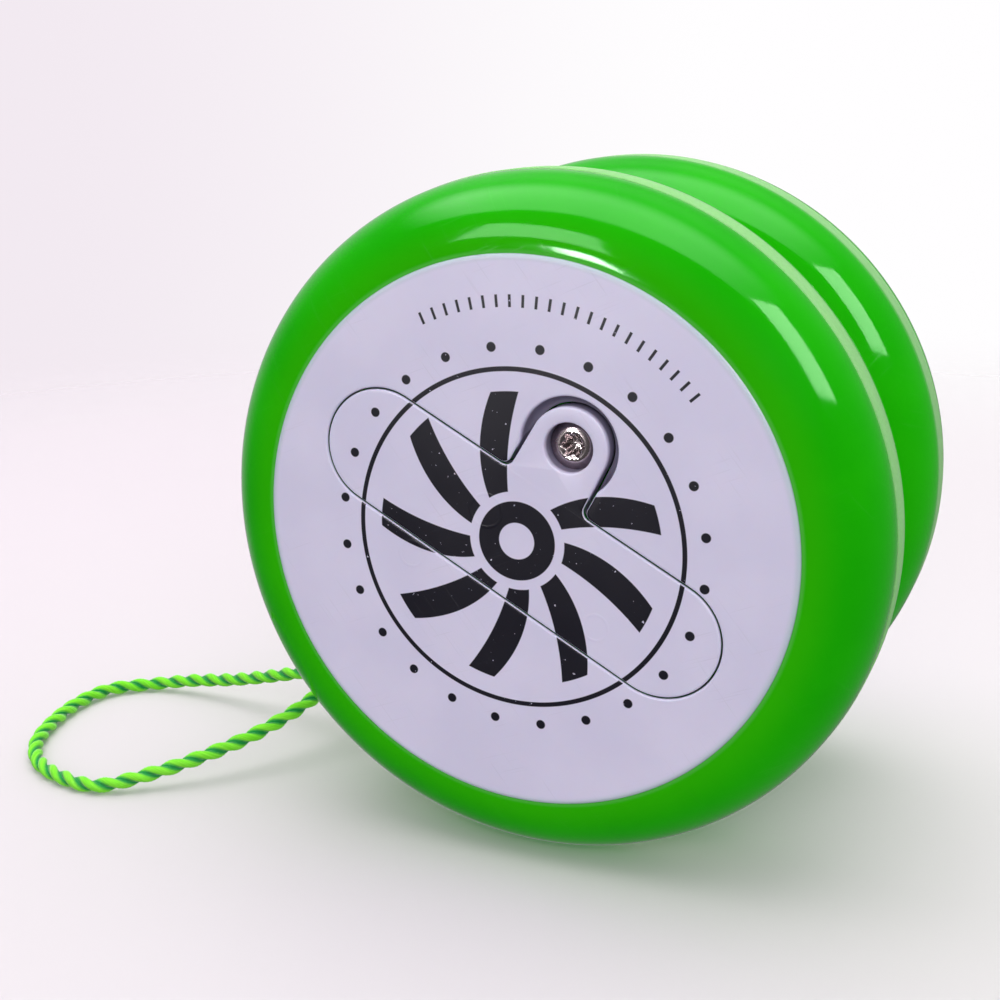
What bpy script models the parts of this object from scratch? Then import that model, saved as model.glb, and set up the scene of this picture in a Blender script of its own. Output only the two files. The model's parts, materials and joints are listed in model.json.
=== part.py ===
"""Light-up ball-bearing yo-yo, as an assembly of separate pieces.

Two translucent halves screw onto one axle and spin on a ball bearing, whose outer race carries
the string. Each half holds its own light: a face disc, a battery door with a screw, three button
cells, a board with three lamps and a motion switch. The finger loop lies beside the yo-yo.

Row frame: origin at the middle of the yo-yo, +Y along the axle with the front face at -Y, +Z up.
Lengths below are millimetres and angles degrees. Every mesh is built in metres.
"""

import math

import bmesh
import bpy
from mathutils import Matrix, Vector

MM = 0.001
CUT = 1.0  # how far a cutter reaches past the surface that it cuts

# ---- Sides of round pieces, by size
RING_STEPS = 28
SMALL_STEPS = 24
TINY_STEPS = 16

# ---- Outer form of one half, measured from the middle of the yo-yo
GROUND = 29.25  # from the axle down to the surface that the rims stand on
SHELL_STEPS = 40  # turned half a step, which leaves a flat of the rim on the ground
RIM_RADIUS = GROUND / math.cos(math.pi / SHELL_STEPS)
FACE = 19.0  # the face disc's outer plane
SHOULDER_RADIUS = 5.95
SHOULDER_START = 86.0  # where the shoulder's arc meets the lip round the disc
BAND_OUTER = 12.85  # the rim's straight band runs between these two heights
BAND_INNER = 10.2
GAP_RADIUS = 6.25  # the round from the band into the string gap
GAP_SWEEP = 79.0
GAP_WALL = 1.6  # half the string gap at the hub
GAP_WALL_RADIUS = 12.0
LIP_DEPTH = 0.35  # from the face down to the lip round the disc
DISC_PLAY = 0.15
ARC_STEPS = 4

# ---- Inside of the shell
CAVITY_FLOOR = 4.4
CAVITY_LOW = (24.6, 6.6)  # radius and height where the floor turns up
CAVITY_RADIUS = 27.3
CAVITY_WALL = 9.9  # height where the straight outer wall starts
CAVITY_HIGH = (25.9, 15.4)  # radius and height under the shoulder
LEDGE = 17.2  # the disc sits just above this ledge
LEDGE_THICK = 1.2
LEDGE_RADIUS = 22.0
BOSS_RADIUS = 6.0
BOSS_TOP = 11.2
HUB_BORE = 3.35
SEAT_RADIUS = 6.85  # recess for the side of the bearing
SEAT_FLOOR = 2.6
SPACER_PLAY = (0.2, 0.15)  # round the spacer's flange, and above it

# ---- Response pad, a soft ring in a groove of the gap wall
GROOVE = (7.25, 9.75)
GROOVE_FLOOR = 2.8
PAD = (7.4, 9.6)
PAD_HEIGHTS = (1.65, 2.65)

# ---- Face disc
DISC_RADIUS = 23.2
DISC_THICK = 1.6
DISC_EDGE = 0.15
SKIRT = (20.6, 21.8)
SKIRT_DEPTH = 3.2

# ---- Battery door: a long rounded bar with a rounded tab on one side that holds the screw
DOOR_TURN = -28.6
DOOR_END = 13.9  # middle of the door to the centre of each rounded end
DOOR_HALF_WIDTH = 4.98
TAB_OUT = 9.25  # middle of the door to the tab's centre
TAB_RADIUS = 3.3
TAB_NECK = 3.45
TAB_BOSS_RADIUS = 3.2
TAB_BOSS_DEPTH = 3.4
TAB_BOSS_ROOT = 0.5  # the boss starts inside the door, this far below the face
DOOR_FILLET = 0.8
SEAM = 0.14  # between the door's long bar and the disc
RECESS_RADIUS = 4.15  # the opening round the tab
RECESS_NECK = 3.75
COUNTERBORE_RADIUS = 2.05
COUNTERBORE_DEPTH = 2.6
SCREW_HOLE = 1.15

# ---- Door screw
SCREW_HEAD_RADIUS = 1.6
SCREW_HEAD_EDGE = 0.3
SCREW_HEAD_TOP = 17.4
SCREW_HEAD_SEAT = 16.5
SCREW_SHANK_RADIUS = 1.0
SCREW_TIP = 12.5
SCREW_POINT = 0.4
DRIVE_RADIUS = 0.9
DRIVE_DEPTH = 0.6

# ---- Battery tray under the disc
TRAY = (11.6, 17.2)
TRAY_HALF_WIDTH = 6.3
TRAY_TAB_RADIUS = 5.6
TRAY_NECK = 5.2
TRAY_FILLET = 1.0
POCKET_RADIUS = 4.15
POCKET_FLOOR = 12.7
TAB_POCKET_RADIUS = 4.3
TAB_POCKET_FLOOR = 15.2
PILOT_RADIUS = 1.12
PILOT_FLOOR = 12.2

# ---- Button cells, 7.9 mm across and 3.6 mm high, side by side under the door
CELL_SPACING = 9.4
CELL_RADIUS = 3.95
CELL_BOTTOM = 13.35
CELL_HEIGHT = 3.6
CELL_EDGE = 0.25
CELL_SEAL = (0.75, 0.4)  # how far in from the side the cap starts, and how far it stands out
CELL_CAP_EDGE = 0.15
CONTACT_WIDTH = 3.0
CONTACT_THICK = 0.15
CONTACT_ENDS = (-2.6, 0.3, 2.4)  # from a cell's middle to the leaf's end, its bend and its tip
CONTACT_RISE = 0.3
CONTACT_PLAY = 0.1

# ---- Light board and what is soldered to it
BOARD = (6.4, 15.5)
BOARD_HEIGHTS = (10.6, 11.4)
SOLDER_GAP = 0.2
LAMP_COUNT = 3
LAMP_OUT = 12.5
LAMP_RADIUS = 1.5
LAMP_FLANGE = (1.75, 0.8)  # radius and height
LAMP_DOME = 2.5  # from the board's side to the middle of the dome
LAMP_FIRST = 90.0
LAMP_STEPS = 12
SWITCH_RADIUS = 1.5
SWITCH_LENGTH = 6.0
SWITCH_PLACE = (11.5, 30.0)  # distance from the axle and angle
CHIP_RADIUS = 2.8
CHIP_HEIGHT = 1.2
CHIP_ROUND = (0.5, 0.8)  # how far in and how far out its side leans
CHIP_PLACE = (11.0, 150.0)

# ---- Axle, nuts and spacers
AXLE_RADIUS = 2.0
AXLE_HALF_LENGTH = 10.9
NUT_ACROSS_FLATS = 7.0
NUT_BORE = 2.12
NUT_HEIGHTS = (7.95, 11.05)
NUT_POCKET_FLATS = 7.4
NUT_POCKET_FLOOR = 7.8
SPACER_BORE = 2.15
SPACER_RADIUS = 3.05
SPACER_FLANGE = 4.1
SPACER_FLANGE_HEIGHTS = (2.5, 3.55)
SPACER_TOP = 7.5
SPACER_END = 0.15

# ---- Ball bearing, 6.35 x 12.7 x 4.76
RACE_HALF_WIDTH = 2.38
INNER_RACE = (3.175, 4.15)
OUTER_RACE = (5.35, 6.35)
PITCH_RADIUS = 4.7625
TRACK_RADIUS = 1.12
BALL_RADIUS = 0.99
BALL_COUNT = 7
CAGE = (4.35, 5.15)
CAGE_HALF_WIDTH = 1.45
CAGE_WINDOW = 1.12
CAGE_WINDOW_REACH = (3.0, 6.5)

# ---- String
STRING_RADIUS = 0.75
WINDING_INNER = 6.5
WINDING_OUTER = 16.85
WINDING_HALF_WIDTHS = (1.35, 2.15, 1.7)  # inside the narrow gap, at its widest, and at its crest
WINDING_CREST = 0.45
LAST_TURN = WINDING_OUTER - STRING_RADIUS
KNOT = (-26.5, -0.8, -21.6)
KNOT_RADII = (2.3, 1.7, 1.7)
LEAD_START = 8.0  # from where the last turn is left to where the tube clears the winding
LEAD_END = 2.8  # from the knot's middle
STRING_LIES_AT = -28.45
POINT_SPACING = 3.2
# The finger loop runs out of the knot, down to the ground, round, and back up into the knot.
LOOP_ROUTE = (
    (-29.3, -0.5, -22.5),
    (-33.7, 0.0, -24.05),
    (-41.6, 1.0, -26.4),
    (-47.7, 1.2, -27.6),
    (-52.6, 0.3, STRING_LIES_AT),
    (-56.3, -3.1, STRING_LIES_AT),
    (-56.9, -8.9, STRING_LIES_AT),
    (-54.8, -16.1, STRING_LIES_AT),
    (-51.2, -20.3, STRING_LIES_AT),
    (-46.6, -22.2, STRING_LIES_AT),
    (-42.2, -22.2, STRING_LIES_AT),
    (-37.9, -19.4, -27.6),
    (-34.3, -16.1, -26.6),
    (-31.3, -12.2, -25.6),
    (-28.9, -8.1, -24.3),
    (-27.3, -4.0, -22.9),
)

COLOURS = {  # name: (red, green, blue), roughness, metallic
    "green_plastic": ((0.012, 0.42, 0.004), 0.12, 0.0),
    "white_plastic": ((0.62, 0.58, 0.76), 0.38, 0.0),
    "tray_plastic": ((0.02, 0.38, 0.02), 0.4, 0.0),
    "board": ((0.02, 0.16, 0.07), 0.5, 0.0),
    "lamp": ((0.85, 0.87, 0.9), 0.1, 0.0),
    "chip": ((0.012, 0.012, 0.014), 0.35, 0.0),
    "steel": ((0.56, 0.55, 0.53), 0.25, 1.0),
    "brass": ((0.72, 0.5, 0.2), 0.3, 1.0),
    "silicone": ((0.82, 0.8, 0.74), 0.6, 0.0),
    "string": ((0.12, 0.75, 0.01), 0.85, 0.0),
}


# ---------------------------------------------------------------- helpers


def clear_scene():
    for obj in list(bpy.data.objects):
        bpy.data.objects.remove(obj)


def new_collection(name):
    collection = bpy.data.collections.new(name)
    bpy.context.scene.collection.children.link(collection)
    return collection


def new_material(name):
    colour, roughness, metallic = COLOURS[name]
    made = bpy.data.materials.new(name)
    made.use_nodes = True
    shader = made.node_tree.nodes["Principled BSDF"]
    shader.inputs["Base Color"].default_value = (*colour, 1.0)
    shader.inputs["Roughness"].default_value = roughness
    shader.inputs["Metallic"].default_value = metallic
    made.diffuse_color = (*colour, 1.0)
    return made


def on_circle(radius, degrees, centre=(0.0, 0.0)):
    angle = math.radians(degrees)
    return (centre[0] + radius * math.cos(angle), centre[1] + radius * math.sin(angle))


def arc(centre, radius, start, end, steps):
    return [on_circle(radius, start + (end - start) * i / steps, centre) for i in range(steps + 1)]


def place(obj, material, parent=None, at=(0.0, 0.0, 0.0), turn=(0.0, 0.0, 0.0)):
    """Puts an object in the yo-yo's collection, in millimetres and degrees in its parent's frame."""
    parts.objects.link(obj)
    if obj.data is not None and material is not None:
        obj.data.materials.append(materials[material])
    obj.parent = parent
    obj.location = [MM * value for value in at]
    obj.rotation_euler = [math.radians(value) for value in turn]
    return obj


def make_cutter(obj, parent=None, at=(0.0, 0.0, 0.0), turn=(0.0, 0.0, 0.0)):
    cutters.objects.link(obj)
    obj.parent = parent
    obj.location = [MM * value for value in at]
    obj.rotation_euler = [math.radians(value) for value in turn]
    obj.hide_render = True
    obj.display_type = "WIRE"
    return obj


def shade_round(mesh, sharp=35.0):
    mesh.shade_smooth()
    mesh.set_sharp_from_angle(angle=math.radians(sharp))


def turned(name, profile, steps, closed=True):
    """A turned shape about Z. The profile's outer side runs top to bottom.

    A closed profile makes a ring. An open one starts and ends on the axis and makes a solid.
    """
    mesh = bpy.data.meshes.new(name)
    points = [(MM * radius, 0.0, MM * height) for radius, height in profile]
    edges = [(i, i + 1) for i in range(len(points) - 1)]
    if closed:
        edges.append((len(points) - 1, 0))
    mesh.from_pydata(points, edges, [])
    obj = bpy.data.objects.new(name, mesh)
    screw = obj.modifiers.new("Turn", "SCREW")
    screw.axis = "Z"
    screw.steps = steps
    screw.render_steps = steps
    screw.use_smooth_shade = True
    screw.use_merge_vertices = True
    screw.merge_threshold = 0.00001
    return obj


def cylinder(name, radius, low, high, sides, phase=0.0):
    """A round bar along Z between two heights, as a mesh object."""
    mesh = bpy.data.meshes.new(name)
    shape = bmesh.new()
    middle = Matrix.Translation((0.0, 0.0, MM * (low + high) / 2))
    bmesh.ops.create_cone(
        shape,
        cap_ends=True,
        segments=sides,
        radius1=MM * radius,
        radius2=MM * radius,
        depth=MM * (high - low),
        matrix=middle @ Matrix.Rotation(math.radians(phase), 4, "Z"),
    )
    shape.to_mesh(mesh)
    shape.free()
    shade_round(mesh)
    return bpy.data.objects.new(name, mesh)


def mesh_from_curve(obj):
    """Replaces a curve object by a mesh object whose caps are welded, so that Booleans take it."""
    bpy.context.scene.collection.objects.link(obj)
    graph = bpy.context.evaluated_depsgraph_get()
    mesh = bpy.data.meshes.new_from_object(obj.evaluated_get(graph))
    name = obj.name
    bpy.data.objects.remove(obj)
    shape = bmesh.new()
    shape.from_mesh(mesh)
    bmesh.ops.remove_doubles(shape, verts=shape.verts, dist=0.000001)
    bmesh.ops.recalc_face_normals(shape, faces=shape.faces)
    shape.to_mesh(mesh)
    shape.free()
    shade_round(mesh)
    return bpy.data.objects.new(name, mesh)


def prism(name, outline, low, high):
    """A flat outline raised between two heights."""
    curve = bpy.data.curves.new(name, "CURVE")
    curve.dimensions = "2D"
    curve.fill_mode = "BOTH"
    curve.extrude = MM * (high - low) / 2
    spline = curve.splines.new("POLY")
    spline.points.add(len(outline) - 1)
    for point, (x, y) in zip(spline.points, outline):
        point.co = (MM * x, MM * y, 0.0, 1.0)
    spline.use_cyclic_u = True
    obj = mesh_from_curve(bpy.data.objects.new(name, curve))
    obj.data.transform(Matrix.Translation((0.0, 0.0, MM * (low + high) / 2)))
    return obj


def tube(name, points, radius):
    """A round cord through points in millimetres."""
    curve = bpy.data.curves.new(name, "CURVE")
    curve.dimensions = "3D"
    curve.bevel_depth = MM * radius
    curve.bevel_resolution = 2
    curve.use_fill_caps = True
    spline = curve.splines.new("POLY")
    spline.points.add(len(points) - 1)
    for point, place_mm in zip(spline.points, points):
        point.co = (*[MM * value for value in place_mm], 1.0)
    return bpy.data.objects.new(name, curve)


def boolean(obj, other, operation="DIFFERENCE"):
    modifier = obj.modifiers.new(other.name, "BOOLEAN")
    modifier.operation = operation
    modifier.solver = "EXACT"
    modifier.object = other


def smooth_route(route, spacing, steps=20):
    """Points every spacing millimetres along a Catmull-Rom curve through the route."""
    knots = [Vector(point) for point in route]
    knots = [2 * knots[0] - knots[1], *knots, 2 * knots[-1] - knots[-2]]
    fine = []
    for a, b, c, d in zip(knots, knots[1:], knots[2:], knots[3:]):
        for i in range(steps):
            t = i / steps
            bend = (2 * a - 5 * b + 4 * c - d) * t**2 + (3 * b - a - 3 * c + d) * t**3
            fine.append(0.5 * (2 * b + (c - a) * t + bend))
    fine.append(knots[-2])
    reach = [0.0]
    for a, b in zip(fine, fine[1:]):
        reach.append(reach[-1] + (b - a).length)
    count = round(reach[-1] / spacing)
    points = []
    k = 0
    for i in range(count + 1):
        target = reach[-1] * i / count
        while k < len(fine) - 2 and reach[k + 1] < target:
            k += 1
        share = (target - reach[k]) / (reach[k + 1] - reach[k])
        points.append(fine[k].lerp(fine[k + 1], share))
    return points


# ---------------------------------------------------------------- one half


def door_outline(half_width, tab_radius, neck, fillet):
    """The long rounded bar with its tab, anticlockwise, in the door's own frame."""
    tab_from = -math.degrees(math.acos(min(1.0, neck / tab_radius)))
    right = arc((DOOR_END, 0.0), half_width, -90, 90, 10)
    right += arc((neck + fillet, half_width + fillet), fillet, -90, -180, 3)
    right += arc((0.0, TAB_OUT), tab_radius, tab_from, 90, 8)
    left = [(-x, y) for x, y in reversed(right[:-1])]
    return right + left


def shell_profile():
    shoulder = (RIM_RADIUS - SHOULDER_RADIUS, BAND_OUTER)
    gap = (RIM_RADIUS - GAP_RADIUS, BAND_INNER)
    wall = DISC_RADIUS + DISC_PLAY
    flange_wall = SPACER_FLANGE + SPACER_PLAY[0]
    flange_roof = SPACER_FLANGE_HEIGHTS[1] + SPACER_PLAY[1]
    return [
        (wall, FACE - LIP_DEPTH),
        *arc(shoulder, SHOULDER_RADIUS, SHOULDER_START, 0, ARC_STEPS),
        *arc(gap, GAP_RADIUS, 0, -GAP_SWEEP, ARC_STEPS),
        (GAP_WALL_RADIUS, GAP_WALL),
        (GROOVE[1], GAP_WALL),
        (GROOVE[1], GROOVE_FLOOR),
        (GROOVE[0], GROOVE_FLOOR),
        (GROOVE[0], GAP_WALL),
        (SEAT_RADIUS, GAP_WALL),
        (SEAT_RADIUS, SEAT_FLOOR),
        (flange_wall, SEAT_FLOOR),
        (flange_wall, flange_roof),
        (HUB_BORE, flange_roof),
        (HUB_BORE, BOSS_TOP),
        (BOSS_RADIUS, BOSS_TOP),
        (BOSS_RADIUS, CAVITY_FLOOR),
        (GAP_WALL_RADIUS, CAVITY_FLOOR),
        CAVITY_LOW,
        (CAVITY_RADIUS, CAVITY_WALL),
        (CAVITY_RADIUS, BAND_OUTER),
        CAVITY_HIGH,
        (LEDGE_RADIUS, LEDGE - LEDGE_THICK),
        (LEDGE_RADIUS, LEDGE),
        (wall, LEDGE),
    ]


def body_shell(side, frame):
    shell = turned(f"{side}_body_shell", shell_profile(), SHELL_STEPS)
    place(shell, "green_plastic", frame, turn=(0.0, 0.0, 180.0 / SHELL_STEPS))
    corner = NUT_POCKET_FLATS / 2 / math.cos(math.radians(30))
    pocket = cylinder(f"{side}_nut_pocket", corner, NUT_POCKET_FLOOR, BOSS_TOP + CUT, 6)
    boolean(shell, make_cutter(pocket, frame))


def response_pad(side, frame):
    low, high = PAD_HEIGHTS
    profile = [(PAD[0], high), (PAD[1], high), (PAD[1], low), (PAD[0], low)]
    place(turned(f"{side}_response_pad", profile, RING_STEPS), "silicone", frame)


def face_disc(side, frame):
    under = FACE - DISC_THICK
    profile = [
        (0.0, FACE),
        (DISC_RADIUS - DISC_EDGE, FACE),
        (DISC_RADIUS, FACE - DISC_EDGE),
        (DISC_RADIUS, under),
        (SKIRT[1], under),
        (SKIRT[1], FACE - SKIRT_DEPTH),
        (SKIRT[0], FACE - SKIRT_DEPTH),
        (SKIRT[0], under),
        (0.0, under),
    ]
    disc = turned(f"{side}_face_disc", profile, SHELL_STEPS, closed=False)
    place(disc, "white_plastic", frame)
    outline = door_outline(DOOR_HALF_WIDTH + SEAM, RECESS_RADIUS, RECESS_NECK, DOOR_FILLET - SEAM)
    opening = prism(f"{side}_door_opening", outline, under - CUT, FACE + CUT)
    boolean(disc, make_cutter(opening, frame, turn=(0.0, 0.0, DOOR_TURN)))


def battery_door(side, frame):
    outline = door_outline(DOOR_HALF_WIDTH, TAB_RADIUS, TAB_NECK, DOOR_FILLET)
    door = prism(f"{side}_battery_door", outline, FACE - DISC_THICK, FACE)
    place(door, "white_plastic", frame, turn=(0.0, 0.0, DOOR_TURN))
    foot = FACE - TAB_BOSS_DEPTH
    seat = FACE - COUNTERBORE_DEPTH
    boss = cylinder(f"{side}_tab_boss", TAB_BOSS_RADIUS, foot, FACE - TAB_BOSS_ROOT, TINY_STEPS)
    well = cylinder(f"{side}_screw_well", COUNTERBORE_RADIUS, seat, FACE + CUT, TINY_STEPS)
    hole = cylinder(f"{side}_screw_hole", SCREW_HOLE, foot - CUT, FACE, TINY_STEPS)
    boolean(door, make_cutter(boss, door, at=(0.0, TAB_OUT, 0.0)), "UNION")
    boolean(door, make_cutter(well, door, at=(0.0, TAB_OUT, 0.0)))
    boolean(door, make_cutter(hole, door, at=(0.0, TAB_OUT, 0.0)))


def door_screw(side, frame):
    profile = [
        (0.0, SCREW_HEAD_TOP),
        (SCREW_HEAD_RADIUS - SCREW_HEAD_EDGE, SCREW_HEAD_TOP),
        (SCREW_HEAD_RADIUS, SCREW_HEAD_TOP - SCREW_HEAD_EDGE),
        (SCREW_HEAD_RADIUS, SCREW_HEAD_SEAT),
        (SCREW_SHANK_RADIUS, SCREW_HEAD_SEAT),
        (SCREW_SHANK_RADIUS, SCREW_TIP + SCREW_POINT),
        (0.0, SCREW_TIP),
    ]
    screw = turned(f"{side}_door_screw", profile, TINY_STEPS, closed=False)
    angle = math.radians(DOOR_TURN)
    at = (-TAB_OUT * math.sin(angle), TAB_OUT * math.cos(angle), 0.0)
    place(screw, "steel", frame, at=at)
    low = SCREW_HEAD_TOP - DRIVE_DEPTH
    drive = cylinder(f"{side}_screw_drive", DRIVE_RADIUS, low, SCREW_HEAD_TOP + CUT, 6)
    boolean(screw, make_cutter(drive, screw))


def battery_tray(side, frame):
    outline = door_outline(TRAY_HALF_WIDTH, TRAY_TAB_RADIUS, TRAY_NECK, TRAY_FILLET)
    tray = prism(f"{side}_battery_tray", outline, *TRAY)
    place(tray, "tray_plastic", frame, turn=(0.0, 0.0, DOOR_TURN))
    top = TRAY[1] + CUT
    for i, out in enumerate((-CELL_SPACING, 0.0, CELL_SPACING)):
        pocket = cylinder(f"{side}_cell_pocket_{i + 1}", POCKET_RADIUS, POCKET_FLOOR, top, TINY_STEPS)
        boolean(tray, make_cutter(pocket, tray, at=(out, 0.0, 0.0)))
    well = cylinder(f"{side}_tab_pocket", TAB_POCKET_RADIUS, TAB_POCKET_FLOOR, top, TINY_STEPS)
    pilot = cylinder(f"{side}_pilot_hole", PILOT_RADIUS, PILOT_FLOOR, top, TINY_STEPS)
    boolean(tray, make_cutter(well, tray, at=(0.0, TAB_OUT, 0.0)))
    boolean(tray, make_cutter(pilot, tray, at=(0.0, TAB_OUT, 0.0)))


def button_cells(side, frame):
    """Three cells in series, so the middle one lies the other way up."""
    top = CELL_HEIGHT / 2
    seal_width, cap_height = CELL_SEAL
    profile = [
        (0.0, top),
        (CELL_RADIUS - CELL_EDGE, top),
        (CELL_RADIUS, top - CELL_EDGE),
        (CELL_RADIUS, cap_height - top),
        (CELL_RADIUS - seal_width, cap_height - top),
        (CELL_RADIUS - seal_width - CELL_CAP_EDGE, -top),
        (0.0, -top),
    ]
    row = bpy.data.objects.new(f"{side}_cell_row", None)
    place(row, None, frame, turn=(0.0, 0.0, DOOR_TURN))
    for i, out in enumerate((-CELL_SPACING, 0.0, CELL_SPACING)):
        cell = turned(f"{side}_button_cell_{i + 1}", profile, TINY_STEPS, closed=False)
        flip = 180.0 if i == 1 else 0.0
        place(cell, "steel", row, at=(out, 0.0, CELL_BOTTOM + top), turn=(flip, 0.0, 0.0))
    return row


def battery_contacts(side, row):
    """A bent leaf under each end cell."""
    low = POCKET_FLOOR + CONTACT_PLAY
    end, bend, tip = CONTACT_ENDS
    under = [(end, low), (bend, low), (tip, low + CONTACT_RISE)]
    leaf = under + [(along, height + CONTACT_THICK) for along, height in reversed(under)]
    for name, out in (("plus", -CELL_SPACING), ("minus", CELL_SPACING)):
        contact = prism(f"{side}_contact_{name}", leaf, -CONTACT_WIDTH / 2, CONTACT_WIDTH / 2)
        place(contact, "brass", row, at=(out, 0.0, 0.0), turn=(90.0, 0.0, 0.0))


def light_board(side, frame):
    low, high = BOARD_HEIGHTS
    profile = [(BOARD[0], high), (BOARD[1], high), (BOARD[1], low), (BOARD[0], low)]
    place(turned(f"{side}_light_board", profile, RING_STEPS), "board", frame)
    under = low - SOLDER_GAP
    flange, flange_height = LAMP_FLANGE
    shelf = under - flange_height
    lamp = [(0.0, under), (flange, under), (flange, shelf), (LAMP_RADIUS, shelf)]
    lamp += arc((0.0, under - LAMP_DOME), LAMP_RADIUS, 0, -90, 3)
    for i in range(LAMP_COUNT):
        made = turned(f"{side}_lamp_{i + 1}", lamp, LAMP_STEPS, closed=False)
        x, y = on_circle(LAMP_OUT, LAMP_FIRST + i * 360 / LAMP_COUNT)
        place(made, "lamp", frame, at=(x, y, 0.0))
    half = SWITCH_LENGTH / 2
    can = cylinder(f"{side}_motion_switch", SWITCH_RADIUS, -half, half, TINY_STEPS)
    out, angle = SWITCH_PLACE
    height = under - SWITCH_RADIUS
    place(can, "steel", frame, at=(*on_circle(out, angle), height), turn=(90.0, 0.0, angle))
    lean, rise = CHIP_ROUND
    blob = [
        (0.0, under),
        (CHIP_RADIUS, under),
        (CHIP_RADIUS - lean, under - rise),
        (0.0, under - CHIP_HEIGHT),
    ]
    chip = turned(f"{side}_light_chip", blob, TINY_STEPS, closed=False)
    place(chip, "chip", frame, at=(*on_circle(*CHIP_PLACE), 0.0))


def axle_nut(side, frame):
    corner = NUT_ACROSS_FLATS / 2 / math.cos(math.radians(30))
    low, high = NUT_HEIGHTS
    nut = cylinder(f"{side}_axle_nut", corner, low, high, 6)
    place(nut, "steel", frame)
    bore = cylinder(f"{side}_nut_bore", NUT_BORE, low - CUT, high + CUT, TINY_STEPS)
    boolean(nut, make_cutter(bore, frame))


def hub_spacer(side, frame):
    low, high = SPACER_FLANGE_HEIGHTS
    profile = [
        (SPACER_BORE, SPACER_TOP),
        (SPACER_RADIUS, SPACER_TOP),
        (SPACER_RADIUS, high),
        (SPACER_FLANGE, high),
        (SPACER_FLANGE, low),
        (SPACER_RADIUS, low),
        (SPACER_RADIUS, SPACER_END),
        (SPACER_BORE, SPACER_END),
    ]
    place(turned(f"{side}_hub_spacer", profile, TINY_STEPS), "brass", frame)


def build_half(side, turn_up):
    """One half in a frame of its own, whose +Z points out of the face and whose +Y points up."""
    frame = bpy.data.objects.new(f"{side}_half_frame", None)
    place(frame, None, turn=(90.0, 0.0, turn_up))
    body_shell(side, frame)
    response_pad(side, frame)
    face_disc(side, frame)
    battery_door(side, frame)
    door_screw(side, frame)
    battery_tray(side, frame)
    battery_contacts(side, button_cells(side, frame))
    light_board(side, frame)
    axle_nut(side, frame)
    hub_spacer(side, frame)


# ---------------------------------------------------------------- axle and bearing


def track(side_radius, outward):
    """The ball track in a race's wall, from its upper edge to its lower one."""
    height = math.sqrt(TRACK_RADIUS**2 - (side_radius - PITCH_RADIUS) ** 2)
    edge = math.degrees(math.atan2(height, abs(side_radius - PITCH_RADIUS)))
    if outward:
        return arc((PITCH_RADIUS, 0.0), TRACK_RADIUS, -edge, edge, 4)
    return arc((PITCH_RADIUS, 0.0), TRACK_RADIUS, 180 - edge, 180 + edge, 4)


def bearing(frame):
    width = RACE_HALF_WIDTH
    bore, rim = INNER_RACE
    inner = [(bore, width), (rim, width), *track(rim, False), (rim, -width), (bore, -width)]
    place(turned("bearing_inner_race", inner, SMALL_STEPS), "steel", frame)
    bore, rim = OUTER_RACE
    outer = [(bore, width), (rim, width), (rim, -width), (bore, -width), *track(bore, True)]
    place(turned("bearing_outer_race", outer, SMALL_STEPS), "steel", frame)

    high = CAGE_HALF_WIDTH
    ring = [(CAGE[0], high), (CAGE[1], high), (CAGE[1], -high), (CAGE[0], -high)]
    cage = turned("bearing_cage", ring, SMALL_STEPS)
    place(cage, "brass", frame)
    ball = bpy.data.meshes.new("bearing_ball")
    shape = bmesh.new()
    bmesh.ops.create_uvsphere(shape, u_segments=12, v_segments=6, radius=MM * BALL_RADIUS)
    shape.to_mesh(ball)
    shape.free()
    ball.shade_smooth()
    ball.materials.append(materials["steel"])
    for i in range(BALL_COUNT):
        angle = i * 360 / BALL_COUNT
        window = cylinder(f"cage_window_{i + 1}", CAGE_WINDOW, *CAGE_WINDOW_REACH, 12)
        boolean(cage, make_cutter(window, frame, turn=(0.0, 90.0, angle)))
        made = bpy.data.objects.new(f"bearing_ball_{i + 1}", ball)
        place(made, None, frame, at=(*on_circle(PITCH_RADIUS, angle), 0.0))


def axle(frame):
    rod = cylinder("axle", AXLE_RADIUS, -AXLE_HALF_LENGTH, AXLE_HALF_LENGTH, TINY_STEPS)
    place(rod, "steel", frame)


# ---------------------------------------------------------------- string


def string_winding(frame):
    narrow, wide, crest = WINDING_HALF_WIDTHS
    side = [
        (WINDING_INNER, narrow),
        (GAP_WALL_RADIUS, narrow),
        (WINDING_OUTER - WINDING_CREST, wide),
        (WINDING_OUTER, crest),
    ]
    profile = side + [(radius, -height) for radius, height in reversed(side)]
    place(turned("string_winding", profile, RING_STEPS), "string", frame)


def string_lead():
    """The stretch from the winding's last turn, which it leaves along its tangent, to the knot."""
    knot = Vector((KNOT[0], 0.0, KNOT[2]))
    reach = knot.length
    angle = math.atan2(knot.z, knot.x) + math.acos(LAST_TURN / reach)
    leaves = LAST_TURN * Vector((math.cos(angle), 0.0, math.sin(angle)))
    along = (Vector(KNOT) - leaves).normalized()
    start = leaves + LEAD_START * along
    end = Vector(KNOT) - LEAD_END * along
    count = round((end - start).length / POINT_SPACING)
    points = [start.lerp(end, i / count) for i in range(count + 1)]
    place(tube("string_lead", points, STRING_RADIUS), "string")


def string_knot():
    mesh = bpy.data.meshes.new("string_knot")
    shape = bmesh.new()
    size = Matrix.Diagonal((*[MM * radius for radius in KNOT_RADII], 1.0))
    bmesh.ops.create_uvsphere(shape, u_segments=12, v_segments=8, radius=1.0, matrix=size)
    shape.to_mesh(mesh)
    shape.free()
    mesh.shade_smooth()
    place(bpy.data.objects.new("string_knot", mesh), "string", at=KNOT)


def string_finger_loop():
    points = smooth_route(LOOP_ROUTE, POINT_SPACING)
    place(tube("string_finger_loop", points, STRING_RADIUS), "string")


clear_scene()
parts = new_collection("light_up_yo_yo")
cutters = new_collection("cutters")
materials = {name: new_material(name) for name in COLOURS}

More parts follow.
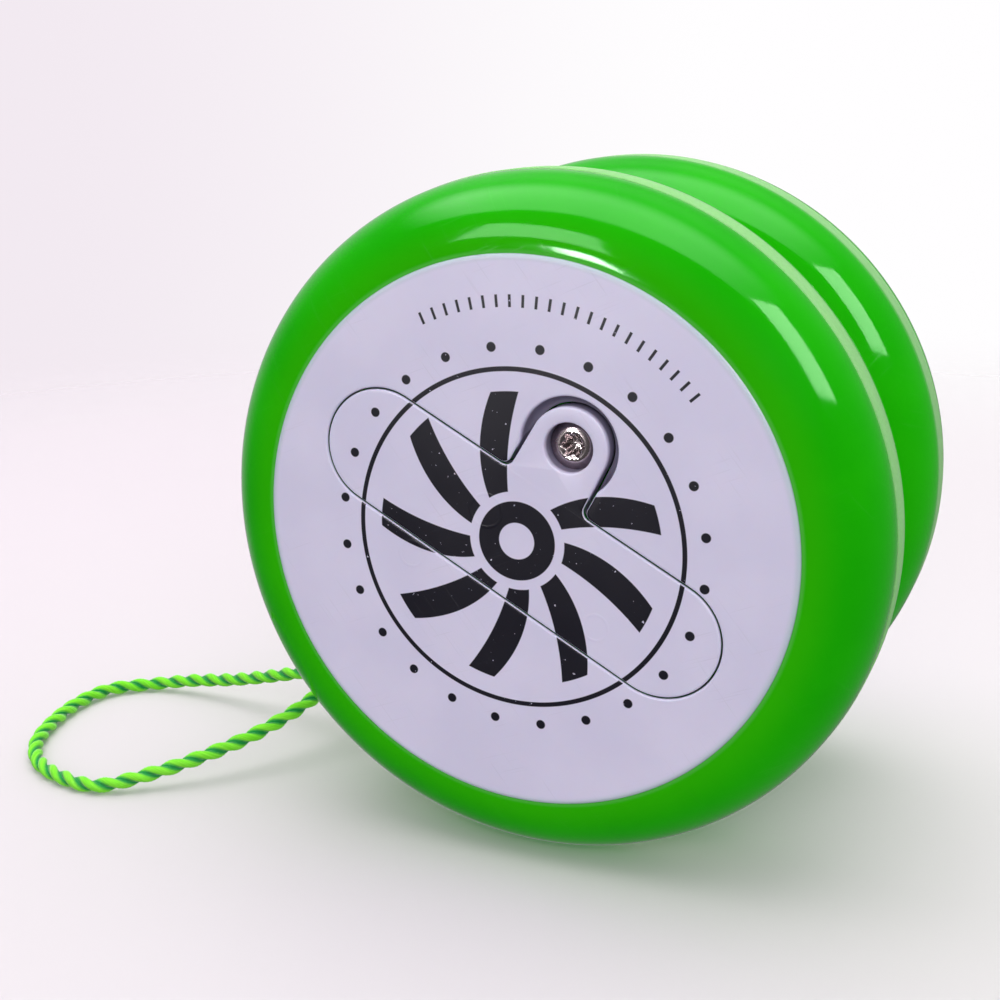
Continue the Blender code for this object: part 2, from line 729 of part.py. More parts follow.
build_half("front", 0.0)
build_half("rear", 180.0)
hub = bpy.data.objects.new("hub_frame", None)
place(hub, None, turn=(90.0, 0.0, 0.0))
axle(hub)
bearing(hub)
string_winding(hub)
string_lead()
string_knot()
string_finger_loop()
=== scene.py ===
"""Looks of the light-up yo-yo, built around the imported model.

Row frame: origin at the middle of the yo-yo, +Y along the axle with the front face at -Y, +Z up.
Each half is built in a frame of its own, whose +Z points out of the face and whose +Y points up.
Lengths below are millimetres and angles degrees. Every mesh is built in metres.
"""

import json
import math
from collections import namedtuple

import bmesh
import bpy
import numpy as np
from mathutils import Matrix, Quaternion, Vector

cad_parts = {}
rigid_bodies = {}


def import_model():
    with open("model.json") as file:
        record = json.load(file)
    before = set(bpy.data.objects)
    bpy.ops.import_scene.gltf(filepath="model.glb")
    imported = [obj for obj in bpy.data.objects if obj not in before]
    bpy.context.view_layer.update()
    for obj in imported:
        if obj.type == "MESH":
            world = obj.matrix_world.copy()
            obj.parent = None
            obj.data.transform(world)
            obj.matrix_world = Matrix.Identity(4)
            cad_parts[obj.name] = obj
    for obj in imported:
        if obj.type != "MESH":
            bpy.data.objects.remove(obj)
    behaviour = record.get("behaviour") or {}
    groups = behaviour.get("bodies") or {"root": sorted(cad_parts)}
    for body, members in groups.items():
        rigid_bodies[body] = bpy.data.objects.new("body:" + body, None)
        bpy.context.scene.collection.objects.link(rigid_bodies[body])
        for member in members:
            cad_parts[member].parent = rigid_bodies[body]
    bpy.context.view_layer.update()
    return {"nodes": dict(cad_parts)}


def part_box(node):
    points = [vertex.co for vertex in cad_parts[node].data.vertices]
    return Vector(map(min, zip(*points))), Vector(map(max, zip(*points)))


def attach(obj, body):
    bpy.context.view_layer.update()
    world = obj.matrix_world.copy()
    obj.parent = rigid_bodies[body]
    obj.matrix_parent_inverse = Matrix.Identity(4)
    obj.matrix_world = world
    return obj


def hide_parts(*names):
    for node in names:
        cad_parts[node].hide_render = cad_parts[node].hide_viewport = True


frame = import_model()

MM = 0.001

DoorForm = namedtuple("DoorForm", "half_width tab_radius neck fillet")


def in_mm(node):
    """(lowest corner, highest corner) of a CAD node in millimetres."""
    low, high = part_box(node)
    return low / MM, high / MM


# ---- Driving sizes, read from the frame
GROUND = -in_mm("front_body_shell")[0].z
FACE = -in_mm("front_face_disc")[0].y
DISC_RADIUS = in_mm("front_face_disc")[1].x
RACE_HALF_WIDTH = in_mm("bearing_outer_race")[1].y
RACE_RADIUS = in_mm("bearing_outer_race")[1].x
BOARD_LOW = -in_mm("front_light_board")[1].y
BOARD_HIGH = -in_mm("front_light_board")[0].y

# ---- Smoothness of round pieces
FINE = 192
ROUND = 96
SMALL = 48
CUT = 1.0  # how far a cutter reaches past the surface that it cuts

# ---- Body shell
SHOULDER_RADIUS = 5.95
SHOULDER_ARC = (91.0, 0.8)
SHOULDER_FOOT = 12.85
SHOULDER_STEP = 0.07
LIP_DEPTH = 0.2
DISC_PLAY = 0.01
BAND_OUTER = 12.6  # the rim's frosted band runs between these two heights
BAND_INNER = 10.2
PARTING_DEPTH = 0.1
PARTING_WIDTH = 0.05
PARTING_EDGE = 0.04
GAP_RADIUS = 6.25
GAP_SWEEP = 79.0
GAP_WALL = 1.6
GAP_WALL_RADIUS = 12.0
GAP_ARC_FOOT = (20.0, 2.9)  # a point on the straight wall below the arc
CAVITY_FLOOR = 4.4
CAVITY_LOW = (24.6, 6.6)  # radius and height where the floor turns up
CAVITY_RADIUS = 27.3
CAVITY_WALL = 9.9
CAVITY_HIGH = (25.9, 15.4)  # radius and height under the shoulder
LEDGE = 17.2
LEDGE_THICK = 1.2
LEDGE_RADIUS = 22.0
BOSS_RADIUS = 6.0
BOSS_TOP = 11.2
HUB_BORE = 3.35
SEAT_RADIUS = 6.85
SEAT_FLOOR = 2.6
SPACER_PLAY = (0.2, 0.15)  # round the spacer's flange, and above it
NUT_PLAY = (0.23, 0.15)  # at the nut's corners, and under it
GROOVE = (7.25, 9.75)
GROOVE_FLOOR = 2.8
PAD = (7.4, 9.6)
PAD_HEIGHTS = (1.65, 2.65)
PAD_EDGE = 0.2

# ---- Face disc and battery door
DISC_THICK = 1.6
SKIRT = (20.6, 21.8)
SKIRT_DEPTH = 3.2
EDGE = 0.18
RIM_EDGE = 0.45
UNDER_EDGE = 0.1
DOOR_TURN = -28.6
DOOR_END = 13.9
TAB_OUT = 9.25
DOOR = DoorForm(half_width=4.98, tab_radius=3.3, neck=3.45, fillet=0.8)
OPENING = DoorForm(half_width=5.12, tab_radius=4.15, neck=3.75, fillet=0.66)
# The hollow round the tab, as radius and depth
HOLLOW = ((4.13, 0.5), (4.1, 0.9), (4.0, 1.2), (3.85, 1.38), (3.65, 1.45), (3.45, 1.46))
HOLLOW_NECK = 0.17
TAB_ANGLE = math.radians(90 + DOOR_TURN)
TAB_CENTRE = (TAB_OUT * math.cos(TAB_ANGLE), TAB_OUT * math.sin(TAB_ANGLE))
COUNTERBORE_RADIUS = 2.05
COUNTERBORE_DEPTH = 2.6
SCREW_HOLE = 1.15
TAB_BOSS = (3.1, 3.4)  # radius, and depth below the face

# ---- Door screw
SCREW_HEAD_RADIUS = 1.6
SCREW_HEAD_TOP = 17.4
SCREW_HEAD_SEAT = 16.5
SCREW_SHANK_RADIUS = 1.0
SCREW_TIP = 12.5
SCREW_PITCH = 0.6
SCREW_THREAD_DEPTH = 0.25
SCREW_CROWN = (0.45, 0.4)  # how far in and how far down the head's edge starts to round
SCREW_CROWN_EDGE = 0.3
DRIVE_RADIUS = 0.86
DRIVE_LOBE = 0.22
DRIVE_LOBES = 6
DRIVE_DEPTH = 0.6
DRIVE_DIMPLE = (0.3, 0.15)  # the share of the outline that the middle keeps, and its extra depth

# ---- Battery tray and cells
TRAY = (11.6, 17.2)
TRAY_FORM = DoorForm(half_width=6.3, tab_radius=5.6, neck=5.2, fillet=1.0)
TRAY_EDGE = 0.12
POCKET_EDGE = 0.15
POCKET_RADIUS = 4.15
POCKET_FLOOR = 12.7
TAB_POCKET = (4.3, 15.2)
PILOT = (1.12, 12.2)
CELL_SPACING = 9.4
CELL_RADIUS = 3.95
CELL_BOTTOM = 13.35
CELL_HEIGHT = 3.6
CELL_EDGE = 0.35
CELL_SEAL = (0.7, 0.4)  # how far in from the side the cap starts, and how far it stands out
CELL_CAP_EDGE = 0.1

# ---- Light board
BOARD = (6.4, 15.5)
LAMP_OUT = 12.5
LAMP_RADIUS = 1.5
LAMP_FLANGE = (1.75, 0.8)  # radius and height
LAMP_DOME = 2.5  # from the board's side to the middle of the dome
LAMP_ANGLES = (90.0, 210.0, 330.0)
SWITCH_RADIUS = 1.5
SWITCH_LENGTH = 6.0
SWITCH_PLACE = (11.5, 30.0)
SWITCH_STEP = (0.35, 0.2)  # how much narrower its end is, and over what length
CHIP_RADIUS = 2.8
CHIP_HEIGHT = 1.2
CHIP_PLACE = (11.0, 150.0)
SOLDER_GAP = 0.2

# ---- Axle, nuts, spacers and bearing
AXLE_RADIUS = 2.0
AXLE_HALF_LENGTH = 10.9
AXLE_PITCH = 0.7
AXLE_THREAD_DEPTH = 0.3
NUT_CORNER = 7.0 / 2 / math.cos(math.radians(30))
NUT_BORE = 2.12
NUT_BORE_EDGE = 0.2
NUT_EDGE = 0.25
NUT_HEIGHTS = (7.95, 11.05)
SPACER_BORE = 2.15
SPACER_RADIUS = 3.05
SPACER_FLANGE = 4.1
SPACER_FLANGE_HEIGHTS = (2.5, 3.55)
SPACER_ENDS = (0.15, 7.5)
SPACER_EDGE = 0.12
INNER_RACE = (3.175, 4.15)
OUTER_RACE = (5.35, RACE_RADIUS)
RACE_EDGES = (0.06, 0.15, 0.2)  # beside the balls, in the bore and round the rim
PITCH_RADIUS = 4.7625
TRACK_RADIUS = 1.06
BALL_RADIUS = 0.99
BALL_COUNT = 7
CAGE = (4.35, 5.15)
CAGE_HALF_WIDTH = 1.45
CAGE_EDGE = 0.1
CAGE_WINDOW = 1.12
CAGE_WINDOW_REACH = (3.0, 6.5)

# ---- String, the one cord. Its route is the part's own.
STRING_DIAMETER = 1.5
STRING_RADIUS = STRING_DIAMETER / 2
TWIST_PITCH = 4.4
PLY = (0.62, 0.38)  # a ply's radius and its distance from the middle, in string radii
FIBRES = (4.0, 0.5)  # how fast the fibre grain runs round the string, and along it
FIRST_TURN = RACE_RADIUS + STRING_RADIUS
TURN_LAYERS = 6
LAST_TURN = 16.1
TURN_POINTS = 48
LANE_CHANGE = 0.2  # the share of a turn over which the string moves to its next lane
KNOT = (-26.5, -0.8, -21.6)
KNOT_RADIUS = 2.3
KNOT_DEPTH = 1.1  # how deep the knot's crossings are, against their width
KNOT_STRING = 0.85  # how far the string is pulled thin in the knot
STRING_LIES_AT = -28.45
LOOP_ROUTE = (
    (-29.3, -0.5, -22.5),
    (-33.7, 0.0, -24.05),
    (-41.6, 1.0, -26.4),
    (-47.7, 1.2, -27.6),
    (-52.6, 0.3, STRING_LIES_AT),
    (-56.3, -3.1, STRING_LIES_AT),
    (-56.9, -8.9, STRING_LIES_AT),
    (-54.8, -16.1, STRING_LIES_AT),
    (-51.2, -20.3, STRING_LIES_AT),
    (-46.6, -22.2, STRING_LIES_AT),
    (-42.2, -22.2, STRING_LIES_AT),
    (-37.9, -19.4, -27.6),
    (-34.3, -16.1, -26.6),
    (-31.3, -12.2, -25.6),
    (-28.9, -8.1, -24.3),
    (-27.3, -4.0, -22.9),
)

# ---- Camera: its place, then how far it is turned to the yo-yo's right, raised and tilted
CAMERA_PLACE = (44.57, -122.81, 35.23)
CAMERA_TURN = (23.9, 15.7, -0.57)
CAMERA_LENS = 52.56

# ---- Floor
FLOOR_RADIUS = 300.0
FLOOR_FADES_FROM = 110.0


# ---------------------------------------------------------------- materials


class Wire:
    """A number made by nodes, which takes part in sums as a plain number does."""

    def __init__(self, tree, socket):
        self.tree = tree
        self.socket = socket

    def math(self, operation, *others):
        node = self.tree.nodes.new("ShaderNodeMath")
        node.operation = operation
        for socket, value in zip(node.inputs, (self, *others)):
            if isinstance(value, Wire):
                self.tree.links.new(value.socket, socket)
            else:
                socket.default_value = value
        return Wire(self.tree, node.outputs[0])

    def __add__(self, other):
        return self.math("ADD", other)

    def __sub__(self, other):
        return self.math("SUBTRACT", other)

    def __mul__(self, other):
        return self.math("MULTIPLY", other)

    def __truediv__(self, other):
        return self.math("DIVIDE", other)

    __radd__ = __add__
    __rmul__ = __mul__

    def __rsub__(self, other):
        return (self * -1.0) + other

    def most(self, other):
        return self.math("MAXIMUM", other)

    def size(self):
        return self.math("ABSOLUTE")

    def step(self, low, high):
        """0 below low and 1 above high, with a smooth rise between them."""
        node = self.tree.nodes.new("ShaderNodeMapRange")
        node.interpolation_type = "SMOOTHSTEP"
        node.inputs["From Min"].default_value = low
        node.inputs["From Max"].default_value = high
        self.tree.links.new(self.socket, node.inputs["Value"])
        return Wire(self.tree, node.outputs["Result"])

    def between(self, low, high, blur):
        """1 from low to high and 0 outside, with a smooth change over blur."""
        return self.step(low, low + blur) * (1.0 - self.step(high, high + blur))


class Finish:
    """A material whose colour, roughness and relief come from nodes, in the piece's own millimetres."""

    def __init__(self, name, **constants):
        self.material = bpy.data.materials.new(name)
        self.material.use_nodes = True
        self.tree = self.material.node_tree
        self.shader = self.tree.nodes["Principled BSDF"]
        for socket, value in constants.items():
            self.shader.inputs[socket.replace("_", " ")].default_value = value
        coordinates = self.tree.nodes.new("ShaderNodeTexCoord")
        scale = self.tree.nodes.new("ShaderNodeVectorMath")
        scale.operation = "SCALE"
        scale.inputs["Scale"].default_value = 1.0 / MM
        self.tree.links.new(coordinates.outputs["Object"], scale.inputs[0])
        self.place = scale.outputs[0]
        split = self.tree.nodes.new("ShaderNodeSeparateXYZ")
        self.tree.links.new(self.place, split.inputs[0])
        self.x, self.y, self.z = (Wire(self.tree, socket) for socket in split.outputs)

    def radius(self):
        """The distance from the piece's own Z axis."""
        return (self.x * self.x + self.y * self.y).math("SQRT")

    def distance(self, point):
        """The distance from a line through the point, along the piece's own Z."""
        x, y = self.x - point[0], self.y - point[1]
        return (x * x + y * y).math("SQRT")

    def attribute(self, name, output="Fac"):
        node = self.tree.nodes.new("ShaderNodeAttribute")
        node.attribute_name = name
        return Wire(self.tree, node.outputs[output])

    def vector(self, *parts):
        node = self.tree.nodes.new("ShaderNodeCombineXYZ")
        for socket, value in zip(node.inputs, parts):
            if isinstance(value, Wire):
                self.tree.links.new(value.socket, socket)
            else:
                socket.default_value = value
        return Wire(self.tree, node.outputs[0])

    def noise(self, size, detail=3.0, at=None):
        """Cloudy values about 0.5, in patches about size millimetres across."""
        node = self.tree.nodes.new("ShaderNodeTexNoise")
        node.inputs["Scale"].default_value = 1.0 / size
        node.inputs["Detail"].default_value = detail
        self.tree.links.new(at.socket if at else self.place, node.inputs["Vector"])
        return Wire(self.tree, node.outputs["Fac"])

    def mix(self, share, first, second):
        """A colour between two, each of which is a plain colour or another mix."""
        node = self.tree.nodes.new("ShaderNodeMix")
        node.data_type = "RGBA"
        sockets = [socket for socket in node.inputs if socket.type == "RGBA"]
        self.tree.links.new(share.socket, node.inputs[0])
        for socket, colour in zip(sockets, (first, second)):
            if isinstance(colour, tuple):
                socket.default_value = (*colour, 1.0)
            else:
                self.tree.links.new(colour, socket)
        return next(socket for socket in node.outputs if socket.type == "RGBA")

    def paint(self, colour, roughness, relief, depth):
        """Links the colour, the roughness and a relief whose height of 1 stands depth millimetres."""
        self.tree.links.new(colour, self.shader.inputs["Base Color"])
        self.tree.links.new(roughness.socket, self.shader.inputs["Roughness"])
        bump = self.tree.nodes.new("ShaderNodeBump")
        bump.inputs["Distance"].default_value = MM * depth
        self.tree.links.new(relief.socket, bump.inputs["Height"])
        self.tree.links.new(bump.outputs[0], self.shader.inputs["Normal"])
        return self.material


def scuffs(finish, spread=14.0):
    """Fine short hairline marks in a few patches, from 0 to 1."""
    marks = []
    for across, along, turn in ((0.16, 5.0, 0.4), (0.2, 7.0, -0.9)):
        cosine, sine = math.cos(turn), math.sin(turn)
        along_mark = (finish.x * cosine + finish.y * sine) / along
        across_mark = (finish.y * cosine - finish.x * sine) / across
        lines = finish.noise(1.0, 1.0, finish.vector(along_mark, across_mark, finish.z / along))
        marks.append(lines.step(0.66, 0.74))
    patches = finish.noise(spread, 2.0).step(0.46, 0.62)
    return marks[0].most(marks[1]) * patches


def green_finish():
    """Glossy see-through green. The rim's band is frosted, with a painted pale reflection; near the disc the
    green is painted lighter, with a painted highlight on the lip.
    """
    made = Finish("green_plastic", Specular_IOR_Level=0.18, Subsurface_Weight=0.1, Subsurface_Scale=0.003)
    made.shader.inputs["Subsurface Radius"].default_value = (0.4, 1.0, 0.1)
    made.shader.inputs["Specular Tint"].default_value = (0.6, 1.0, 0.6, 1.0)
    clouds = made.noise(11.0, 3.0).step(0.3, 0.7)
    radius = made.radius()
    near_disc = 1.0 - radius.step(DISC_RADIUS + 0.2, DISC_RADIUS + 3.4)
    lip = 1.0 - radius.step(DISC_RADIUS + 0.05, DISC_RADIUS + 0.35)
    colour = made.mix(clouds, (0.009, 0.44, 0.0006), (0.014, 0.49, 0.0008))
    # Painted light: the green is painted lighter and yellower within a few millimetres of the disc, for light
    # coming through the translucent plastic there.
    colour = made.mix(near_disc * 0.5, colour, (0.045, 0.53, 0.001))
    # Painted highlight: a pale halo on the shell's lip where it meets the disc.
    colour = made.mix(lip * 0.3, colour, (0.2, 0.62, 0.16))
    # The band round the rim is frosted, so it is rougher with a fine grain. Its pale colour is a painted
    # reflection of the bright room seen at a grazing angle.
    frosted_with_painted_sheen = made.z.step(BAND_INNER - 1.1, BAND_INNER + 0.1)
    frosted_with_painted_sheen = frosted_with_painted_sheen * (1.0 - made.z.step(BAND_OUTER - 0.03, BAND_OUTER))
    frosted_with_painted_sheen = frosted_with_painted_sheen * radius.step(GROUND - 1.0, GROUND - 0.3)
    frost_grain = made.noise(0.3, 3.0)
    colour = made.mix(frosted_with_painted_sheen * (0.6 + frost_grain * 0.4), colour, (0.34, 0.66, 0.28))
    marks = scuffs(made)
    colour = made.mix(marks * 0.06, colour, (0.1, 0.6, 0.08))
    smudges = made.noise(6.0, 4.0).step(0.4, 0.75)
    roughness = 0.07 + smudges * 0.05 + marks * 0.12 + frosted_with_painted_sheen * 0.4
    relief = made.noise(2.4, 2.0) * 0.7 - marks * 0.06 + frosted_with_painted_sheen * frost_grain * 0.6
    return made.paint(colour, roughness, relief, 0.006)


def pinwheel(radius, angle, blades=9, sweep=0.055, start=0.46, left_out=2.5):
    """Swept blades round the middle, all but the one that would cross the door's tab."""
    turns = angle * (blades / math.tau) + radius * sweep + start
    off_middle = (turns.math("FRACT") - 0.5).size() * 2.0
    width = 0.8 - radius * 0.042
    across = (width - off_middle) * radius * (math.pi / blades)
    kept = (turns - left_out).size().step(0.49, 0.5)
    return across.step(-0.04, 0.04) * radius.between(4.1, 12.3, 0.08) * kept


def ring_of_dots(radius, angle, dots=24, out=15.9, size=0.4):
    sector = (angle * (dots / math.tau)).math("FRACT") - 0.5
    along = sector * (math.tau / dots) * radius
    across = radius - out
    off_dot = (along * along + across * across).math("SQRT")
    return 1.0 - off_dot.step(size - 0.04, size + 0.04)


def scale_of_ticks(radius, angle, spacing=0.058, half_width=0.12):
    off_tick = ((angle / spacing).math("FRACT") - 0.5).size() * spacing * radius
    tick = 1.0 - off_tick.step(half_width - 0.03, half_width + 0.03)
    return tick * radius.between(18.95, 19.95, 0.05) * angle.between(0.71, 2.03, 0.002)


def ink_print(finish):
    """Where the generic printed mark is: a pinwheel in rings of dots, with a scale of ticks beside it."""
    radius = finish.radius()
    angle = finish.y.math("ARCTAN2", finish.x)
    hub = radius.between(1.5, 3.3, 0.08)
    ring = radius.between(13.9, 14.3, 0.06)
    mark = pinwheel(radius, angle).most(hub).most(ring)
    mark = mark.most(ring_of_dots(radius, angle)).most(scale_of_ticks(radius, angle))
    worn = finish.noise(0.35, 3.0).step(0.22, 0.3)
    return mark * worn


def moulding_marks(finish):
    """Faint rings that ejector pins leave, at two places on the door."""
    found = None
    for x, y, radius in ((-2.7, 2.3, 1.4), (6.8, -6.5, 1.1), (-9.6, -2.2, 1.1)):
        off = finish.distance((x, y))
        ring = 1.0 - (off - radius).size().step(0.04, 0.16)
        found = ring if found is None else found.most(ring)
    return found


def face_finish():
    """Pale lilac plastic with the print on it, painted greener near its edge for light from the shell, and
    with painted shade in the hollow round the tab and down the seams.
    """
    made = Finish("white_plastic", Specular_IOR_Level=0.25, Subsurface_Weight=0.1, Subsurface_Scale=0.002)
    ink = ink_print(made) * made.z.step(FACE - 0.06, FACE - 0.03)
    clouds = made.noise(9.0, 3.0).step(0.3, 0.7)
    marks = scuffs(made, 10.0)
    plastic = made.mix(clouds, (0.72, 0.69, 0.885), (0.765, 0.73, 0.92))
    plastic = made.mix(marks * 0.15, plastic, (0.5, 0.48, 0.6))
    # Painted light: green light from the shell is painted onto the disc near its edge, and most strongly on
    # the very edge.
    edge = made.radius().step(DISC_RADIUS - 0.75, DISC_RADIUS - 0.05)
    plastic = made.mix(edge, plastic, (0.52, 0.62, 0.68))
    rim = made.radius().step(DISC_RADIUS - 0.13, DISC_RADIUS + 0.02)
    plastic = made.mix(rim, plastic, (0.1, 0.42, 0.1))
    # Painted shade: the further the surface lies below the face, the darker it is painted, in the hollow
    # round the tab, the screw's well and the seams.
    painted_recess_shade = 1.0 - made.z.step(FACE - 0.75, FACE - 0.25)
    plastic = made.mix(painted_recess_shade * 0.8, plastic, (0.12, 0.1, 0.17))
    off_tab = made.distance(TAB_CENTRE)
    # Painted shade: a dark green band on the seam walls just under the face, away from the tab, where the
    # narrow seams lie in shade.
    grime_and_shade = made.z.step(FACE - 0.65, FACE - 0.5) * (1.0 - made.z.step(FACE - 0.3, FACE - 0.08))
    grime_and_shade = grime_and_shade * off_tab.step(OPENING.tab_radius + 0.2, OPENING.tab_radius + 0.5)
    plastic = made.mix(grime_and_shade, plastic, (0.004, 0.14, 0.02))
    colour = made.mix(ink, plastic, (0.007, 0.006, 0.014))
    roughness = 0.34 + clouds * 0.06 + marks * 0.12 - ink * 0.04
    grain = made.noise(0.16, 2.0)
    relief = grain * 0.25 + ink * 0.5 + moulding_marks(made) * 0.8 - marks * 0.3
    return made.paint(colour, roughness, relief, 0.012)


def tray_finish():
    made = Finish("tray_plastic", Specular_IOR_Level=0.3)
    clouds = made.noise(5.0, 3.0).step(0.3, 0.7)
    colour = made.mix(clouds, (0.01, 0.34, 0.01), (0.02, 0.42, 0.02))
    return made.paint(colour, 0.3 + clouds * 0.12, made.noise(0.2, 2.0), 0.01)


def metal_finish(name, light, dark, roughness, grain=0.25):
    """Turned metal: fine rings about the piece's axis, with dull patches."""
    made = Finish(name, Metallic=1.0)
    patches = made.noise(2.5, 3.0).step(0.35, 0.7)
    rings = made.noise(grain, 2.0, made.vector(made.radius(), made.z, 0.0))
    colour = made.mix(patches * 0.6 + rings * 0.3, light, dark)
    return made.paint(colour, roughness + patches * 0.12 + rings * 0.08, rings, 0.004)


def cell_finish():
    """Nickel-plated cell with a dark seal between its can and its cap."""
    made = Finish("cell_steel")
    patches = made.noise(3.0, 3.0).step(0.3, 0.7)
    seal_width, cap_height = CELL_SEAL
    off_seal = (made.radius() - (CELL_RADIUS - seal_width - 0.02)).size().step(0.05, 0.1)
    can_end = cap_height - CELL_HEIGHT / 2
    seal = (1.0 - off_seal) * (1.0 - made.z.step(can_end + 0.15, can_end + 0.2))
    rings = made.noise(0.12, 2.0, made.vector(made.radius(), 0.0, 0.0))
    metal = made.mix(patches * 0.5 + rings * 0.3, (0.66, 0.65, 0.62), (0.47, 0.46, 0.45))
    colour = made.mix(seal, metal, (0.03, 0.05, 0.04))
    made.tree.links.new((1.0 - seal).socket, made.shader.inputs["Metallic"])
    return made.paint(colour, 0.22 + patches * 0.12 + seal * 0.3, rings, 0.003)


def board_finish():
    """Green solder mask over arcs and spokes of copper track."""
    made = Finish("board", Specular_IOR_Level=0.5)
    radius = made.radius()
    angle = made.y.math("ARCTAN2", made.x)
    arcs = 1.0 - ((radius / 1.4).math("FRACT") - 0.5).size().step(0.1, 0.14)
    part_way = (angle * 2.2 + (radius / 1.4).math("FLOOR") * 1.7).math("SINE").step(-0.1, -0.02)
    spokes = 1.0 - ((angle * (12 / math.tau)).math("FRACT") - 0.5).size().step(0.02, 0.04)
    track = (arcs * part_way).most(spokes * radius.step(11.0, 11.1))
    clouds = made.noise(2.0, 3.0)
    colour = made.mix(clouds, (0.008, 0.09, 0.035), (0.014, 0.13, 0.05))
    colour = made.mix(track, colour, (0.05, 0.27, 0.09))
    return made.paint(colour, 0.3 + clouds * 0.15, track + clouds * 0.1, 0.02)


def lamp_finish():
    made = Finish("lamp", IOR=1.5, Transmission_Weight=0.85)
    haze = made.noise(0.8, 3.0)
    colour = made.mix(haze, (0.86, 0.88, 0.9), (0.95, 0.96, 0.97))
    return made.paint(colour, 0.04 + haze * 0.08, haze, 0.003)


def chip_finish():
    made = Finish("chip", Specular_IOR_Level=0.5)
    clouds = made.noise(0.9, 4.0)
    colour = made.mix(clouds, (0.006, 0.006, 0.007), (0.02, 0.02, 0.023))
    return made.paint(colour, 0.25 + clouds * 0.25, clouds, 0.04)


def pad_finish():
    """Silicone with string fluff rubbed into it."""
    made = Finish("silicone", Specular_IOR_Level=0.4, Subsurface_Weight=0.2, Subsurface_Scale=0.001)
    grime_and_shade = made.noise(1.2, 4.0).step(0.4, 0.8)
    colour = made.mix(grime_and_shade, (0.8, 0.77, 0.7), (0.5, 0.58, 0.36))
    return made.paint(colour, 0.5 + grime_and_shade * 0.25, made.noise(0.15, 3.0), 0.03)


def string_finish():
    """Two plies of fine fibres, with painted shade in the groove between them."""
    made = Finish("string", Specular_IOR_Level=0.25, Sheen_Weight=0.35, Sheen_Roughness=0.4)
    groove = made.attribute("groove")
    fibres = made.noise(1.0, 2.0, made.attribute("fibre", "Vector"))
    fluff = made.noise(0.35, 3.0)
    crest = made.mix(fibres.step(0.3, 0.7), (0.17, 0.80, 0.012), (0.27, 0.92, 0.04))
    # Painted shade: the string is painted dark green where it lies deep in the groove between the plies.
    colour = made.mix(groove.step(0.2, 0.8), crest, (0.003, 0.3, 0.05))
    colour = made.mix(fluff.step(0.62, 0.8) * 0.4, colour, (0.32, 0.9, 0.14))
    return made.paint(colour, 0.72 + fibres * 0.2, fibres + fluff * 0.3, 0.07)


FINISHES = {
    "green_shell": green_finish(),
    "white_face": face_finish(),
    "tray": tray_finish(),
    "steel": metal_finish("steel", (0.58, 0.51, 0.51), (0.3, 0.25, 0.26), 0.14),
    "brass": metal_finish("brass", (0.78, 0.56, 0.24), (0.5, 0.33, 0.13), 0.22),
    "cell_steel": cell_finish(),
    "board": board_finish(),
    "lamp": lamp_finish(),
    "chip": chip_finish(),
    "response_pad": pad_finish(),
    "string": string_finish(),
}


# ---------------------------------------------------------------- shapes


def on_circle(radius, degrees, centre=(0.0, 0.0)):
    angle = math.radians(degrees)
    return (centre[0] + radius * math.cos(angle), centre[1] + radius * math.sin(angle))


def arc(centre, radius, start, end, steps):
    return [on_circle(radius, start + (end - start) * i / steps, centre) for i in range(steps + 1)]


def softened(corners, closed=True, steps=4):
    """An outline through corners of (x, y, fillet radius), with each fillet as an arc."""
    points = []
    count = len(corners)
    for i, (x, y, radius) in enumerate(corners):
        if radius == 0.0 or (not closed and i in (0, count - 1)):
            points.append((x, y))
            continue
        here = Vector((x, y))
        back = (Vector(corners[i - 1][:2]) - here).normalized()
        ahead = (Vector(corners[(i + 1) % count][:2]) - here).normalized()
        half = back.angle(ahead) / 2
        middle = here + (back + ahead).normalized() * radius / math.sin(half)
        first = here + back * radius / math.tan(half) - middle
        last = here + ahead * radius / math.tan(half) - middle
        for k in range(steps + 1):
            spoke = first.slerp(last, k / steps)
            points.append(tuple(middle + spoke))
    return points


def even(corners, radius):
    """Corners of (x, y) that all take one fillet radius."""
    return [(x, y, radius) for x, y in corners]


def shade(mesh, sharp=40.0):
    """Smooth shading, but for edges sharper than an angle."""
    mesh.shade_smooth()
    mesh.set_sharp_from_angle(angle=math.radians(sharp))


def mesh_object(name, shape):
    mesh = bpy.data.meshes.new(name)
    shape.to_mesh(mesh)
    shape.free()
    shade(mesh)
    return bpy.data.objects.new(name, mesh)


def turned(name, profile, steps, closed=True):
    """A turned shape about Z. The profile's outer side runs top to bottom.

    A closed profile makes a ring. An open one starts and ends on the axis and makes a solid.
    """
    shape = bmesh.new()
    rows = []
    for radius, height in profile:
        places = 1 if radius < 1e-6 else steps
        ring = [on_circle(radius, 360 * i / steps) for i in range(places)]
        rows.append([shape.verts.new((MM * x, MM * y, MM * height)) for x, y in ring])
    pairs = list(zip(rows, rows[1:]))
    if closed:
        pairs.append((rows[-1], rows[0]))
    for above, below in pairs:
        for i in range(steps):
            j = (i + 1) % steps
            if len(above) == 1:
                shape.faces.new((above[0], below[i], below[j]))
            elif len(below) == 1:
                shape.faces.new((above[i], below[0], above[j]))
            else:
                shape.faces.new((above[i], below[i], below[j], above[j]))
    return mesh_object(name, shape)


